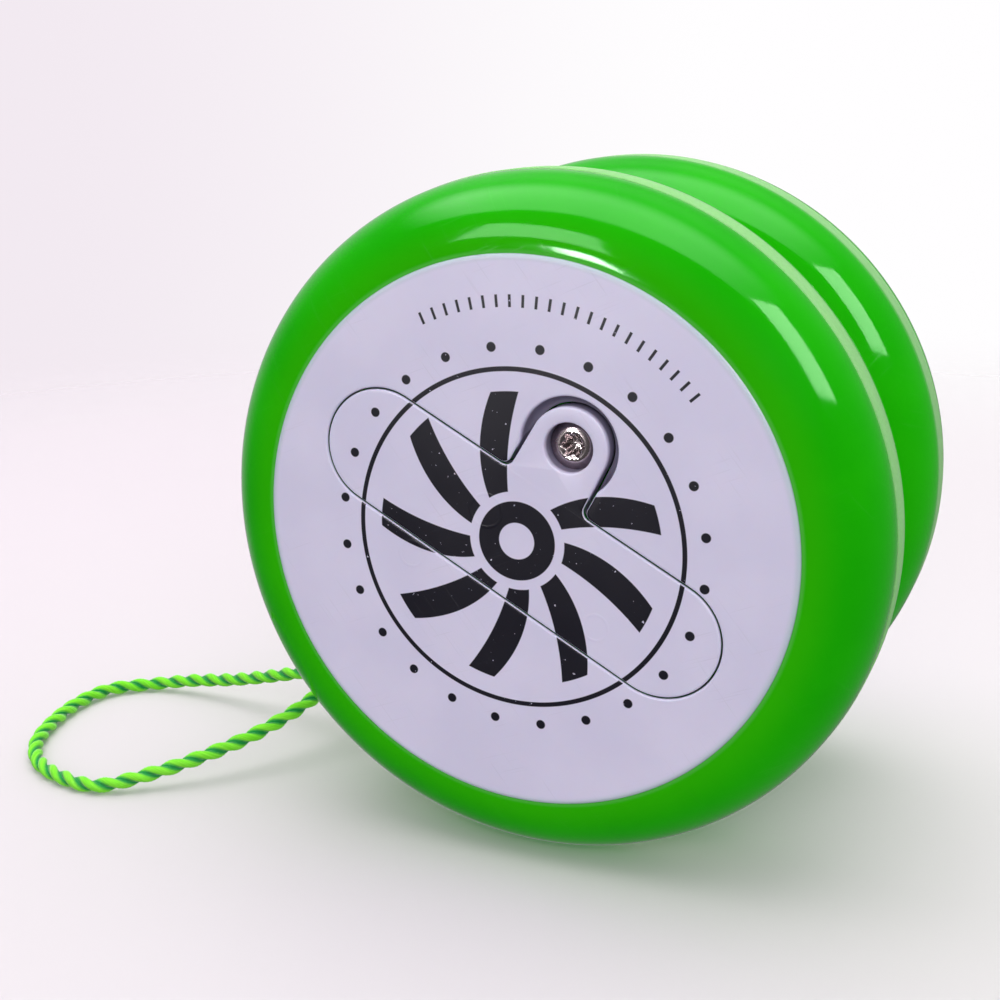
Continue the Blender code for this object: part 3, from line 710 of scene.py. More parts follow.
def skin(name, walls, flats):
    """A closed surface. Each wall joins loops of points, and each flat fills between some of the loops."""
    shape = bmesh.new()
    built = []
    for loops in walls:
        rows = [[shape.verts.new([MM * value for value in point]) for point in loop] for loop in loops]
        for above, below in zip(rows, rows[1:]):
            for i in range(len(above)):
                shape.faces.new((above[i - 1], below[i - 1], below[i], above[i]))
        built.append(rows)
    for chosen in flats:
        edges = []
        for wall, loop in chosen:
            row = built[wall][loop]
            edges += [shape.edges.get((row[i - 1], row[i])) for i in range(len(row))]
        bmesh.ops.triangle_fill(shape, use_beauty=True, use_dissolve=False, edges=edges)
    bmesh.ops.recalc_face_normals(shape, faces=shape.faces)
    obj = mesh_object(name, shape)
    weighted = obj.modifiers.new("Flat faces", "WEIGHTED_NORMAL")
    weighted.keep_sharp = True
    return obj


def level(outline, height):
    return [(x, y, height) for x, y in outline]


def circle(radius, centre=(0.0, 0.0), steps=SMALL):
    return [on_circle(radius, 360 * i / steps, centre) for i in range(steps)]


def edge_steps(radius, steps=4):
    """(inset, drop) pairs round an edge, from the flat face to the side wall."""
    return [
        (radius * (1 - math.sin(angle)), radius * (1 - math.cos(angle)))
        for angle in (math.pi / 2 * i / steps for i in range(steps + 1))
    ]


def door_outline(form, grow=0.0):
    """The long rounded bar with its tab, in the half's frame, grown outwards by some millimetres."""
    half_width = form.half_width + grow
    tab_radius = form.tab_radius + grow
    neck = form.neck + grow
    fillet = form.fillet - grow
    tab_from = -math.degrees(math.acos(min(1.0, neck / tab_radius)))
    right = arc((DOOR_END, 0.0), half_width, -90, 90, 40)
    right += arc((neck + fillet, half_width + fillet), fillet, -90, -180, 8)
    right += arc((0.0, TAB_OUT), tab_radius, tab_from, 90, 28)
    outline = right + [(-x, y) for x, y in reversed(right[:-1])]
    turn = Matrix.Rotation(math.radians(DOOR_TURN), 2)
    return [tuple(turn @ Vector(point)) for point in outline]


def threaded(name, radius, depth, pitch, low, high, steps=40):
    """A threaded rod along Z, whose ridge climbs one pitch each turn and fades at both ends."""
    shape = bmesh.new()
    rows = []
    count = round((high - low) / pitch * 10)
    for k in range(count + 1):
        height = low + (high - low) * k / count
        fade = min(1.0, (height - low) / pitch, (high - height) / pitch)
        row = []
        for i in range(steps):
            phase = (height / pitch - i / steps) % 1.0
            cut = 2 * abs(phase - 0.5)
            x, y = on_circle(radius - depth * (1 - fade * (1 - cut)), 360 * i / steps)
            row.append(shape.verts.new((MM * x, MM * y, MM * height)))
        rows.append(row)
    for below, above in zip(rows, rows[1:]):
        for i in range(steps):
            shape.faces.new((above[i - 1], below[i - 1], below[i], above[i]))
    shape.faces.new(rows[-1])
    shape.faces.new(rows[0][::-1])
    bmesh.ops.recalc_face_normals(shape, faces=shape.faces)
    return mesh_object(name, shape)


def joined(name, *objects):
    """One object from several whose meshes share a frame."""
    shape = bmesh.new()
    for obj in objects:
        shape.from_mesh(obj.data)
    for obj in objects:
        bpy.data.objects.remove(obj)
    return mesh_object(name, shape)


def cut(obj, cutter):
    """Takes the cutter's solid out of obj for good."""
    collection = bpy.context.scene.collection.objects
    for each in (obj, cutter):
        if each.name not in collection:
            collection.link(each)
    modifier = obj.modifiers.new("Cut", "BOOLEAN")
    modifier.solver = "EXACT"
    modifier.object = cutter
    graph = bpy.context.evaluated_depsgraph_get()
    mesh = bpy.data.meshes.new_from_object(obj.evaluated_get(graph))
    obj.modifiers.remove(modifier)
    obj.data = mesh
    bpy.data.objects.remove(cutter)
    return obj


# ---------------------------------------------------------------- pieces


def half_frame(side):
    """From a half's own frame to the row frame."""
    turn = 0.0 if side == "front" else math.pi
    return Matrix.Rotation(turn, 4, "Z") @ Matrix.Rotation(math.pi / 2, 4, "X")


def show(obj, node, body, slot, place):
    """Puts a piece in the scene in place of its CAD node."""
    obj.name = f"{node}_fine"
    collection = bpy.context.scene.collection.objects
    if obj.name not in collection:
        collection.link(obj)
    obj.matrix_world = place
    if not obj.data.materials:
        obj.data.materials.append(FINISHES[slot])
    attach(obj, body)
    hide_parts(node)
    return obj


def shell_profile():
    """The shell's outline from the lip round the disc, over the rim and the gap, to the cavity and back."""
    shoulder_middle = (GROUND - SHOULDER_STEP - SHOULDER_RADIUS, SHOULDER_FOOT)
    shoulder = arc(shoulder_middle, SHOULDER_RADIUS, *SHOULDER_ARC, 44)
    wall = DISC_RADIUS + DISC_PLAY
    gap = (GROUND - GAP_RADIUS, BAND_INNER)
    groove = GROUND - PARTING_DEPTH
    low = BAND_OUTER - PARTING_WIDTH
    parting = [
        (groove, BAND_OUTER),
        (groove, low),
        (GROUND - PARTING_EDGE, low),
        (GROUND, low - PARTING_EDGE),
    ]
    flange_wall = SPACER_FLANGE + SPACER_PLAY[0]
    flange_roof = SPACER_FLANGE_HEIGHTS[1] + SPACER_PLAY[1]
    inner = [
        (*GAP_ARC_FOOT, 0.0),
        (GAP_WALL_RADIUS, GAP_WALL, 0.6),
        (GROOVE[1], GAP_WALL, 0.12),
        (GROOVE[1], GROOVE_FLOOR, 0.1),
        (GROOVE[0], GROOVE_FLOOR, 0.1),
        (GROOVE[0], GAP_WALL, 0.08),
        (SEAT_RADIUS, GAP_WALL, 0.08),
        (SEAT_RADIUS, SEAT_FLOOR, 0.1),
        (flange_wall, SEAT_FLOOR, 0.08),
        (flange_wall, flange_roof, 0.05),
        (HUB_BORE, flange_roof, 0.08),
        (HUB_BORE, BOSS_TOP, 0.15),
        (BOSS_RADIUS, BOSS_TOP, 0.3),
        (BOSS_RADIUS, CAVITY_FLOOR, 0.6),
        (GAP_WALL_RADIUS, CAVITY_FLOOR, 1.5),
        (*CAVITY_LOW, 2.0),
        (CAVITY_RADIUS, CAVITY_WALL, 1.5),
        (CAVITY_RADIUS, BAND_OUTER, 1.5),
        (*CAVITY_HIGH, 1.0),
        (LEDGE_RADIUS, LEDGE - LEDGE_THICK, 0.2),
        (LEDGE_RADIUS, LEDGE, 0.15),
        (wall, LEDGE, 0.0),
    ]
    return [
        (wall, shoulder[0][1] - LIP_DEPTH),
        *shoulder,
        *parting,
        *arc(gap, GAP_RADIUS, 0, -GAP_SWEEP, 32),
        *softened(inner, closed=False)[1:],
    ]


def body_shell(side, place):
    shell = turned("shell", shell_profile(), FINE)
    hexagon = circle(NUT_CORNER + NUT_PLAY[0], steps=6)
    pocket_walls = [level(hexagon, NUT_HEIGHTS[0] - NUT_PLAY[1]), level(hexagon, BOSS_TOP + CUT)]
    cut(shell, skin("pocket", [pocket_walls], [[(0, 0)], [(0, 1)]]))
    shade(shell.data)
    show(shell, f"{side}_body_shell", f"{side}_half", "green_shell", place)


def response_pad(side, place):
    low, high = PAD_HEIGHTS
    corners = [(PAD[0], high), (PAD[1], high), (PAD[1], low), (PAD[0], low)]
    pad = turned("pad", softened(even(corners, PAD_EDGE)), ROUND)
    show(pad, f"{side}_response_pad", f"{side}_half", "response_pad", place)


def hollow_outline(radius):
    """The opening's outline where the hollow round the tab has this radius."""
    neck = min(OPENING.neck, radius + HOLLOW_NECK)
    return door_outline(OPENING._replace(tab_radius=radius, neck=neck))


def face_disc(side, place):
    under = FACE - DISC_THICK
    foot = FACE - SKIRT_DEPTH
    rim = [
        level(circle(DISC_RADIUS - UNDER_EDGE, steps=FINE), under),
        level(circle(DISC_RADIUS, steps=FINE), under + UNDER_EDGE),
    ]
    for inset, drop in reversed(edge_steps(RIM_EDGE, 8)):
        rim.append(level(circle(DISC_RADIUS - inset, steps=FINE), FACE - drop))
    opening = [level(door_outline(OPENING, inset), FACE - drop) for inset, drop in edge_steps(EDGE)]
    opening += [level(hollow_outline(radius), FACE - drop) for radius, drop in HOLLOW]
    opening.append(level(hollow_outline(HOLLOW[-1][0]), under))
    skirt = [
        level(circle(SKIRT[1], steps=FINE), under),
        level(circle(SKIRT[1], steps=FINE), foot),
        level(circle(SKIRT[0], steps=FINE), foot),
        level(circle(SKIRT[0], steps=FINE), under),
    ]
    flats = [[(0, -1), (1, 0)], [(0, 0), (2, 0)], [(2, -1), (1, -1)]]
    disc = skin("disc", [rim, opening, skirt], flats)
    show(disc, f"{side}_face_disc", f"{side}_half", "white_face", place)


def battery_door(side, place):
    """The door bar with its tab, the screw's well through the tab and the boss under it."""
    under = FACE - DISC_THICK
    boss_radius, boss_depth = TAB_BOSS
    seat = FACE - COUNTERBORE_DEPTH
    foot = FACE - boss_depth
    bar = [level(door_outline(DOOR), under)]
    bar += [level(door_outline(DOOR, -inset), FACE - drop) for inset, drop in reversed(edge_steps(EDGE))]
    well = []
    for inset, drop in edge_steps(EDGE):
        well.append(level(circle(COUNTERBORE_RADIUS + inset, TAB_CENTRE), FACE - drop))
    well.append(level(circle(COUNTERBORE_RADIUS, TAB_CENTRE), seat))
    well.append(level(circle(SCREW_HOLE, TAB_CENTRE), seat))
    well.append(level(circle(SCREW_HOLE, TAB_CENTRE), foot))
    boss = [
        level(circle(boss_radius, TAB_CENTRE), under),
        level(circle(boss_radius, TAB_CENTRE), foot + UNDER_EDGE),
        level(circle(boss_radius - UNDER_EDGE, TAB_CENTRE), foot),
    ]
    flats = [[(0, -1), (1, 0)], [(0, 0), (2, 0)], [(2, -1), (1, -1)]]
    door = skin("door", [bar, well, boss], flats)
    show(door, f"{side}_battery_door", f"{side}_door", "white_face", place)


def drive_recess():
    """The six-lobed hollow that the screwdriver turns, with a dimple in its floor."""
    lobes = []
    for i in range(SMALL):
        angle = 360 * i / SMALL
        swell = math.cos(math.radians(DRIVE_LOBES * angle))
        lobes.append(on_circle(DRIVE_RADIUS + DRIVE_LOBE * swell, angle))
    share, deeper = DRIVE_DIMPLE
    dimple = [(share * x, share * y) for x, y in lobes]
    floor = SCREW_HEAD_TOP - DRIVE_DEPTH
    walls = [level(dimple, floor - deeper), level(lobes, floor), level(lobes, SCREW_HEAD_TOP + CUT)]
    return skin("recess", [walls], [[(0, 0)], [(0, 2)]])


def door_screw(side, place):
    """A pan-head screw with a six-lobed recess and a thread."""
    crown_in, crown_drop = SCREW_CROWN
    head_corners = [
        (0.0, SCREW_HEAD_TOP, 0.0),
        (SCREW_HEAD_RADIUS - crown_in, SCREW_HEAD_TOP, SCREW_CROWN_EDGE),
        (SCREW_HEAD_RADIUS, SCREW_HEAD_TOP - crown_drop, SCREW_CROWN_EDGE),
        (SCREW_HEAD_RADIUS, SCREW_HEAD_SEAT, 0.06),
        (SCREW_SHANK_RADIUS / 2, SCREW_HEAD_SEAT, 0.0),
        (0.0, SCREW_HEAD_SEAT, 0.0),
    ]
    head = turned("head", softened(head_corners, closed=False), SMALL, closed=False)
    cut(head, drive_recess())
    shank_top = SCREW_HEAD_SEAT + 0.05
    shank = threaded(
        "shank", SCREW_SHANK_RADIUS, SCREW_THREAD_DEPTH, SCREW_PITCH, SCREW_TIP, shank_top, steps=32
    )
    screw = joined("screw", head, shank)
    at = Matrix.Translation((MM * TAB_CENTRE[0], MM * TAB_CENTRE[1], 0.0))
    show(screw, f"{side}_door_screw", f"{side}_screw", "steel", place @ at)


def pocket_mouth(radius, centre, top):
    """The rounded upper edge of a round pocket."""
    return [level(circle(radius + inset, centre), top - drop) for inset, drop in edge_steps(POCKET_EDGE)]


def battery_tray(side, place):
    """The moulded tray with a pocket for each cell, one for the tab and the screw's pilot hole."""
    low, high = TRAY
    outer = [level(door_outline(TRAY_FORM), low)]
    for inset, drop in reversed(edge_steps(TRAY_EDGE)):
        outer.append(level(door_outline(TRAY_FORM, -inset), high - drop))
    pockets = []
    turn = Matrix.Rotation(math.radians(DOOR_TURN), 2)
    for out in (-CELL_SPACING, 0.0, CELL_SPACING):
        centre = turn @ Vector((out, 0.0))
        pocket = pocket_mouth(POCKET_RADIUS, centre, high)
        pocket.append(level(circle(POCKET_RADIUS, centre), POCKET_FLOOR))
        pockets.append(pocket)
    radius, floor = TAB_POCKET
    pilot_radius, pilot_floor = PILOT
    well = pocket_mouth(radius, TAB_CENTRE, high)
    well.append(level(circle(radius, TAB_CENTRE), floor))
    well.append(level(circle(pilot_radius, TAB_CENTRE), floor))
    well.append(level(circle(pilot_radius, TAB_CENTRE), pilot_floor))
    pockets.append(well)
    order = range(1, len(pockets) + 1)
    top = [(0, -1)] + [(wall, 0) for wall in order]
    flats = [[(0, 0)], top] + [[(wall, -1)] for wall in order]
    show(skin("tray", [outer, *pockets], flats), f"{side}_battery_tray", f"{side}_half", "tray", place)


def button_cells(side, place):
    """Three cells in series, so the middle one lies the other way up."""
    top = CELL_HEIGHT / 2
    seal_width, cap_height = CELL_SEAL
    can_end = cap_height - top
    corners = [
        (0.0, top, 0.0),
        (CELL_RADIUS, top, CELL_EDGE),
        (CELL_RADIUS, can_end, 0.25),
        (CELL_RADIUS - seal_width, can_end, 0.05),
        (CELL_RADIUS - seal_width - CELL_CAP_EDGE, -top, 0.25),
        (0.0, -top, 0.0),
    ]
    profile = softened(corners, closed=False)
    turn = Matrix.Rotation(math.radians(DOOR_TURN), 4, "Z")
    for i, out in enumerate((-CELL_SPACING, 0.0, CELL_SPACING)):
        cell = turned("cell", profile, ROUND, closed=False)
        flip = Matrix.Rotation(math.pi if i == 1 else 0.0, 4, "X")
        at = Matrix.Translation((MM * out, 0.0, MM * (CELL_BOTTOM + top)))
        show(cell, f"{side}_button_cell_{i + 1}", f"{side}_half", "cell_steel", place @ turn @ at @ flip)


def on_board(out, angle, height=0.0):
    """The place of a part on the light board."""
    x, y = on_circle(out, angle)
    return Matrix.Translation((MM * x, MM * y, MM * height))


def lamp_profile(under):
    flange, flange_height = LAMP_FLANGE
    shelf = under - flange_height
    corners = [(0.0, under, 0.0), (flange, under, 0.05), (flange, shelf, 0.05), (LAMP_RADIUS, shelf, 0.04)]
    return softened(corners, closed=False) + arc((0.0, under - LAMP_DOME), LAMP_RADIUS, 0, -90, 12)


def switch_profile():
    half = SWITCH_LENGTH / 2
    narrower, end = SWITCH_STEP
    corners = [
        (0.0, half, 0.0),
        (SWITCH_RADIUS - narrower, half, 0.1),
        (SWITCH_RADIUS - narrower, half - end, 0.05),
        (SWITCH_RADIUS, half - end, 0.2),
        (SWITCH_RADIUS, -half, 0.25),
        (0.0, -half, 0.0),
    ]
    return softened(corners, closed=False)


def chip_profile(under):
    """A blob of resin with a domed lower side."""
    dome = [
        (CHIP_RADIUS * math.cos(angle), under - CHIP_HEIGHT * math.sin(angle))
        for angle in np.linspace(0.2, 1.4, 8)
    ]
    return [(0.0, under), (CHIP_RADIUS, under), *dome, (0.0, under - CHIP_HEIGHT)]


def light_board(side, place):
    """The ring-shaped board, with the lamps, the motion switch and the chip on its lower side."""
    body = f"{side}_half"
    inner, outer = BOARD
    corners = [(inner, BOARD_HIGH), (outer, BOARD_HIGH), (outer, BOARD_LOW), (inner, BOARD_LOW)]
    board = turned("board", softened(even(corners, 0.06)), ROUND)
    show(board, f"{side}_light_board", body, "board", place)
    under = BOARD_LOW - SOLDER_GAP
    for i, angle in enumerate(LAMP_ANGLES):
        lamp = turned("lamp", lamp_profile(under), SMALL, closed=False)
        show(lamp, f"{side}_lamp_{i + 1}", body, "lamp", place @ on_board(LAMP_OUT, angle))
    can = turned("can", switch_profile(), SMALL, closed=False)
    out, angle = SWITCH_PLACE
    lying = Matrix.Rotation(math.radians(angle), 4, "Z") @ Matrix.Rotation(math.pi / 2, 4, "X")
    at = on_board(out, angle, under - SWITCH_RADIUS)
    show(can, f"{side}_motion_switch", body, "steel", place @ at @ lying)
    chip = turned("chip", chip_profile(under), SMALL, closed=False)
    show(chip, f"{side}_light_chip", body, "chip", place @ on_board(*CHIP_PLACE))


def axle_nut(side, place):
    low, high = NUT_HEIGHTS
    sides = [level(circle(NUT_CORNER - inset, steps=6), low + drop) for inset, drop in edge_steps(NUT_EDGE)]
    for inset, drop in reversed(edge_steps(NUT_EDGE)):
        sides.append(level(circle(NUT_CORNER - inset, steps=6), high - drop))
    bore = [
        level(circle(NUT_BORE + NUT_BORE_EDGE), high),
        level(circle(NUT_BORE), high - NUT_BORE_EDGE),
        level(circle(NUT_BORE), low + NUT_BORE_EDGE),
        level(circle(NUT_BORE + NUT_BORE_EDGE), low),
    ]
    nut = skin("nut", [sides, bore], [[(0, 0), (1, -1)], [(0, -1), (1, 0)]])
    show(nut, f"{side}_axle_nut", f"{side}_half", "steel", place)


def hub_spacer(side, place):
    """The flanged brass spacer that carries one side of the bearing."""
    low, high = SPACER_FLANGE_HEIGHTS
    end, top = SPACER_ENDS
    corners = [
        (SPACER_BORE, top),
        (SPACER_RADIUS, top),
        (SPACER_RADIUS, high),
        (SPACER_FLANGE, high),
        (SPACER_FLANGE, low),
        (SPACER_RADIUS, low),
        (SPACER_RADIUS, end),
        (SPACER_BORE, end),
    ]
    spacer = turned("spacer", softened(even(corners, SPACER_EDGE)), ROUND)
    show(spacer, f"{side}_hub_spacer", f"{side}_half", "brass", place)


def build_half(side):
    place = half_frame(side)
    body_shell(side, place)
    response_pad(side, place)
    face_disc(side, place)
    battery_door(side, place)
    door_screw(side, place)
    battery_tray(side, place)
    button_cells(side, place)
    light_board(side, place)
    axle_nut(side, place)
    hub_spacer(side, place)
    for end in ("plus", "minus"):
        contact = frame["nodes"][f"{side}_contact_{end}"]
        contact.data.materials.clear()
        contact.data.materials.append(FINISHES["brass"])


def ball_track(wall, middle):
    """The ball track in a race's wall, whose middle is at this angle from the balls' own middle."""
    height = math.sqrt(TRACK_RADIUS**2 - (wall - PITCH_RADIUS) ** 2)
    edge = math.degrees(math.atan2(height, abs(wall - PITCH_RADIUS)))
    return arc((PITCH_RADIUS, 0.0), TRACK_RADIUS, middle - edge, middle + edge, 12)


def races(place):
    width = RACE_HALF_WIDTH
    beside_balls, in_bore, round_rim = RACE_EDGES
    bore, wall = INNER_RACE
    corners = [(bore, -width, 0.0), (bore, width, in_bore), (wall, width, beside_balls), (wall, 0.0, 0.0)]
    profile = softened(corners, closed=False)[:-1] + ball_track(wall, 180) + [(wall, -width)]
    show(turned("inner", profile, ROUND), "bearing_inner_race", "front_half", "steel", place)
    wall, rim = OUTER_RACE
    corners = [
        (wall, 0.0, 0.0),
        (wall, width, beside_balls),
        (rim, width, round_rim),
        (rim, -width, round_rim),
        (wall, -width, beside_balls),
        (wall, 0.0, 0.0),
    ]
    profile = softened(corners, closed=False)[1:-1] + ball_track(wall, 0)
    show(turned("outer", profile, ROUND), "bearing_outer_race", "string_side", "steel", place)


def cage_and_balls(place):
    high = CAGE_HALF_WIDTH
    ring = [(CAGE[0], high), (CAGE[1], high), (CAGE[1], -high), (CAGE[0], -high)]
    cage = turned("cage", softened(even(ring, CAGE_EDGE)), ROUND)
    near, far = CAGE_WINDOW_REACH
    hole = [(0.0, far), (CAGE_WINDOW, far), (CAGE_WINDOW, near), (0.0, near)]
    lying = Matrix.Rotation(math.pi / 2, 4, "Y")
    for i in range(BALL_COUNT):
        angle = i * 360 / BALL_COUNT
        window = turned("window", hole, SMALL, closed=False)
        window.data.transform(Matrix.Rotation(math.radians(angle), 4, "Z") @ lying)
        cut(cage, window)
        ball = bmesh.new()
        bmesh.ops.create_uvsphere(ball, u_segments=SMALL, v_segments=24, radius=MM * BALL_RADIUS)
        x, y = on_circle(PITCH_RADIUS, angle)
        at = Matrix.Translation((MM * x, MM * y, 0.0))
        show(mesh_object("ball", ball), f"bearing_ball_{i + 1}", "ball_cage", "steel", place @ at)
    shade(cage.data)
    show(cage, "bearing_cage", "ball_cage", "brass", place)


def axle(place):
    low, high = -AXLE_HALF_LENGTH, AXLE_HALF_LENGTH
    rod = threaded("rod", AXLE_RADIUS, AXLE_THREAD_DEPTH, AXLE_PITCH, low, high)
    show(rod, "axle", "front_half", "steel", place)


# ---------------------------------------------------------------- string


def smooth_route(route, steps=12):
    """Points along a Catmull-Rom curve through the route."""
    knots = [Vector(point) for point in route]
    knots = [2 * knots[0] - knots[1], *knots, 2 * knots[-1] - knots[-2]]
    points = []
    for a, b, c, d in zip(knots, knots[1:], knots[2:], knots[3:]):
        for i in range(steps):
            t = i / steps
            bend = (2 * a - 5 * b + 4 * c - d) * t**2 + (3 * b - a - 3 * c + d) * t**3
            points.append(0.5 * (2 * b + (c - a) * t + bend))
    return [*points, knots[-2]]


def winding_route():
    """Turns from the bearing outwards, two side by side in each layer, and one last turn between them."""
    lanes = []
    for layer in range(TURN_LAYERS):
        first = -1 if layer % 2 == 0 else 1
        radius = FIRST_TURN + layer * STRING_DIAMETER
        lanes += [(radius, first * STRING_RADIUS), (radius, -first * STRING_RADIUS)]
    lanes += [(LAST_TURN, 0.0)] * 2
    turns = len(lanes) - 1
    reach = math.hypot(KNOT[0], KNOT[2])
    leaves_at = math.atan2(KNOT[2], KNOT[0]) + math.acos(LAST_TURN / reach)
    points = []
    for i in range(turns * TURN_POINTS + 1):
        turn = i / TURN_POINTS
        lane = min(int(turn), turns - 1)
        late = max(0.0, (turn - lane - 1) / LANE_CHANGE + 1)
        share = late * late * (3 - 2 * late)
        radius, across = (a + (b - a) * share for a, b in zip(lanes[lane], lanes[lane + 1]))
        angle = leaves_at + math.tau * (turns - turn)
        points.append(Vector((radius * math.cos(angle), across, radius * math.sin(angle))))
    return points


def string_route():
    """The whole string: the winding, the stretch to the knot, and the finger loop back into the knot."""
    winding = winding_route()
    knot = Vector(KNOT)
    lead = [winding[-1].lerp(knot, i / 30) for i in range(1, 30)]
    back_in = knot + Vector((-0.2, -0.9, -0.5))
    loop = smooth_route((KNOT, *LOOP_ROUTE, back_in))
    return [*winding, *lead, *loop]


def evenly_spaced(route, spacing):
    """(points, distances from the start) along a route, at even spacing."""
    route = np.array([tuple(point) for point in route])
    reach = np.concatenate([[0.0], np.cumsum(np.linalg.norm(np.diff(route, axis=0), axis=1))])
    along = np.linspace(0.0, reach[-1], round(reach[-1] / spacing) + 1)
    return np.stack([np.interp(along, reach, route[:, k]) for k in range(3)], axis=1), along


def carried_frames(line):
    """Two directions square to the line at each point, which turn no more than the line does."""
    tangents = np.gradient(line, axis=0)
    tangents /= np.linalg.norm(tangents, axis=1)[:, None]
    normals = np.empty_like(line)
    normal = np.cross(tangents[0], (0.3, 1.0, 0.2))
    for i, tangent in enumerate(tangents):
        normal = normal - tangent * (normal @ tangent)
        normal /= np.linalg.norm(normal)
        normals[i] = normal
    return normals, np.cross(tangents, normals)


def strand(name, route, radius, spacing=0.34, sides=20):
    """A two-ply twisted cord along a route in millimetres, and its centreline.

    Each point of it carries how deep in the groove it lies, and a place for the fibre grain.
    """
    line, along = evenly_spaced(route, spacing)
    normals, others = carried_frames(line)
    ply, out = PLY
    around = math.tau * np.arange(sides) / sides
    form = out * np.abs(np.cos(around)) + np.sqrt(ply**2 - (out * np.sin(around)) ** 2)
    angles = around[None] + math.tau * along[:, None] / TWIST_PITCH
    spokes = np.cos(angles)[..., None] * normals[:, None] + np.sin(angles)[..., None] * others[:, None]
    points = MM * (line[:, None] + radius * form[None, :, None] * spokes)
    rows = len(line)
    index = np.arange(rows * sides).reshape(rows, sides)
    ahead = np.roll(index, -1, axis=1)
    quads = np.stack([index[:-1], ahead[:-1], ahead[1:], index[1:]], axis=-1).reshape(-1, 4)
    faces = [*quads.tolist(), index[0][::-1].tolist(), index[-1].tolist()]
    mesh = bpy.data.meshes.new(name)
    mesh.from_pydata(points.reshape(-1, 3).tolist(), [], faces)
    shade(mesh, 60.0)
    depth = (form.max() - form) / (form.max() - form.min())
    groove = mesh.attributes.new("groove", "FLOAT", "POINT")
    groove.data.foreach_set("value", np.tile(depth, rows).astype(np.float32))
    round_it, along_it = FIBRES
    fibre = np.empty((rows, sides, 3), np.float32)
    fibre[..., 0] = round_it * np.cos(around)
    fibre[..., 1] = round_it * np.sin(around)
    fibre[..., 2] = along_it * along[:, None]
    fibres = mesh.attributes.new("fibre", "FLOAT_VECTOR", "POINT")
    fibres.data.foreach_set("vector", fibre.ravel())
    obj = bpy.data.objects.new(name, mesh)
    bpy.context.scene.collection.objects.link(obj)
    mesh.materials.append(FINISHES["string"])
    return obj, line


def knot_route(steps=120):
    """A trefoil that faces along the string."""
    knot = Vector(KNOT)
    facing = (Vector(LOOP_ROUTE[0]) - knot).to_track_quat("Z", "Y").to_matrix()
    scale = KNOT_RADIUS / 4.0
    points = []
    for i in range(steps + 1):
        t = math.tau * i / steps
        x = math.sin(t) + 2 * math.sin(2 * t)
        y = math.cos(t) - 2 * math.cos(2 * t)
        z = -KNOT_DEPTH * math.sin(3 * t)
        points.append(knot + facing @ Vector((x * scale, y * scale, z * scale)))
    return points


def build_string():
    string, line = strand("yo_yo_string", string_route(), STRING_RADIUS)
    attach(string, "string_side")
    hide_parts("string_winding", "string_lead", "string_finger_loop")
    knot, _ = strand("string_knot_fine", knot_route(), STRING_RADIUS * KNOT_STRING, spacing=0.25)
    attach(knot, "string_side")
    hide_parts("string_knot")


# ---------------------------------------------------------------- camera, floor and light


def facing_away_from(back):
    """The turn of a camera or a light whose back points this way."""
    return back.to_track_quat("Z", "Y")


def add_camera():
    camera = bpy.data.cameras.new("camera")
    camera.lens = CAMERA_LENS
    camera.sensor_width = 36.0
    camera.clip_start = 0.005
    camera.clip_end = 20.0
    obj = bpy.data.objects.new("camera", camera)
    obj.location = MM * Vector(CAMERA_PLACE)
    azimuth, elevation, roll = (math.radians(angle) for angle in CAMERA_TURN)
    level_reach = math.cos(elevation)
    back = Vector((math.sin(azimuth) * level_reach, -math.cos(azimuth) * level_reach, math.sin(elevation)))
    obj.rotation_mode = "QUATERNION"
    obj.rotation_quaternion = facing_away_from(back) @ Quaternion((0.0, 0.0, 1.0), roll)
    bpy.context.scene.collection.objects.link(obj)
    bpy.context.scene.camera = obj


def area_light(name, direction, distance, size, radiance, colour, reflected=True, lights=True):
    """A rectangle of light facing the yo-yo, which can be left out of reflections or of lighting."""
    light = bpy.data.lights.new(name, "AREA")
    light.shape = "RECTANGLE"
    light.size, light.size_y = size
    light.energy = radiance * math.pi * size[0] * size[1]
    light.color = colour
    obj = bpy.data.objects.new(name, light)
    obj.location = distance * Vector(direction).normalized()
    obj.rotation_mode = "QUATERNION"
    obj.rotation_quaternion = facing_away_from(Vector(direction))
    obj.visible_glossy = reflected
    obj.visible_diffuse = lights
    bpy.context.scene.collection.objects.link(obj)


def add_lights():
    """Two soft lights that light the yo-yo, and three that show only as reflections in it."""
    warm, cool = (1.0, 0.98, 0.97), (1.0, 0.98, 1.0)
    area_light("key", (-0.15, 0.05, 1.0), 0.8, (0.8, 0.8), 1.55, warm, reflected=False)
    area_light("fill", (0.4, -1.0, 0.5), 1.0, (0.9, 0.6), 2.35, cool, reflected=False)
    area_light("window", (0.76, -0.24, 0.58), 0.6, (0.24, 0.28), 22.0, warm, lights=False)
    area_light("softbox", (-0.4, -1.0, 0.5), 0.8, (0.27, 0.24), 13.0, cool, lights=False)
    area_light("lamp", (-0.293, -0.95, 0.08), 0.6, (0.045, 0.075), 130.0, cool, lights=False)


def room_light(x, y, z, mirrored):
    """How bright the room is in a direction. Reflections see a darker room with a bright ceiling."""
    ceiling = (y + z * 0.65).step(-0.01, 0.05) * (x + z * 1.1).step(-0.1, 0.3) * (z * 0.9 - x).step(-0.1, 0.6)
    ceiling = ceiling * (z - y).step(-0.2, 0.3) * (1.0 - y.step(0.0, 0.4) * 0.93)
    far_corner = 1.0 + mirrored * (y - x).step(0.9, 1.3) * 1.2
    glow = 0.34 + y.step(-0.6, 0.9) * 0.62 + z.step(0.0, 1.0) * 0.42
    return glow * (1.0 - mirrored * 0.72) * far_corner + ceiling * mirrored * 7.2


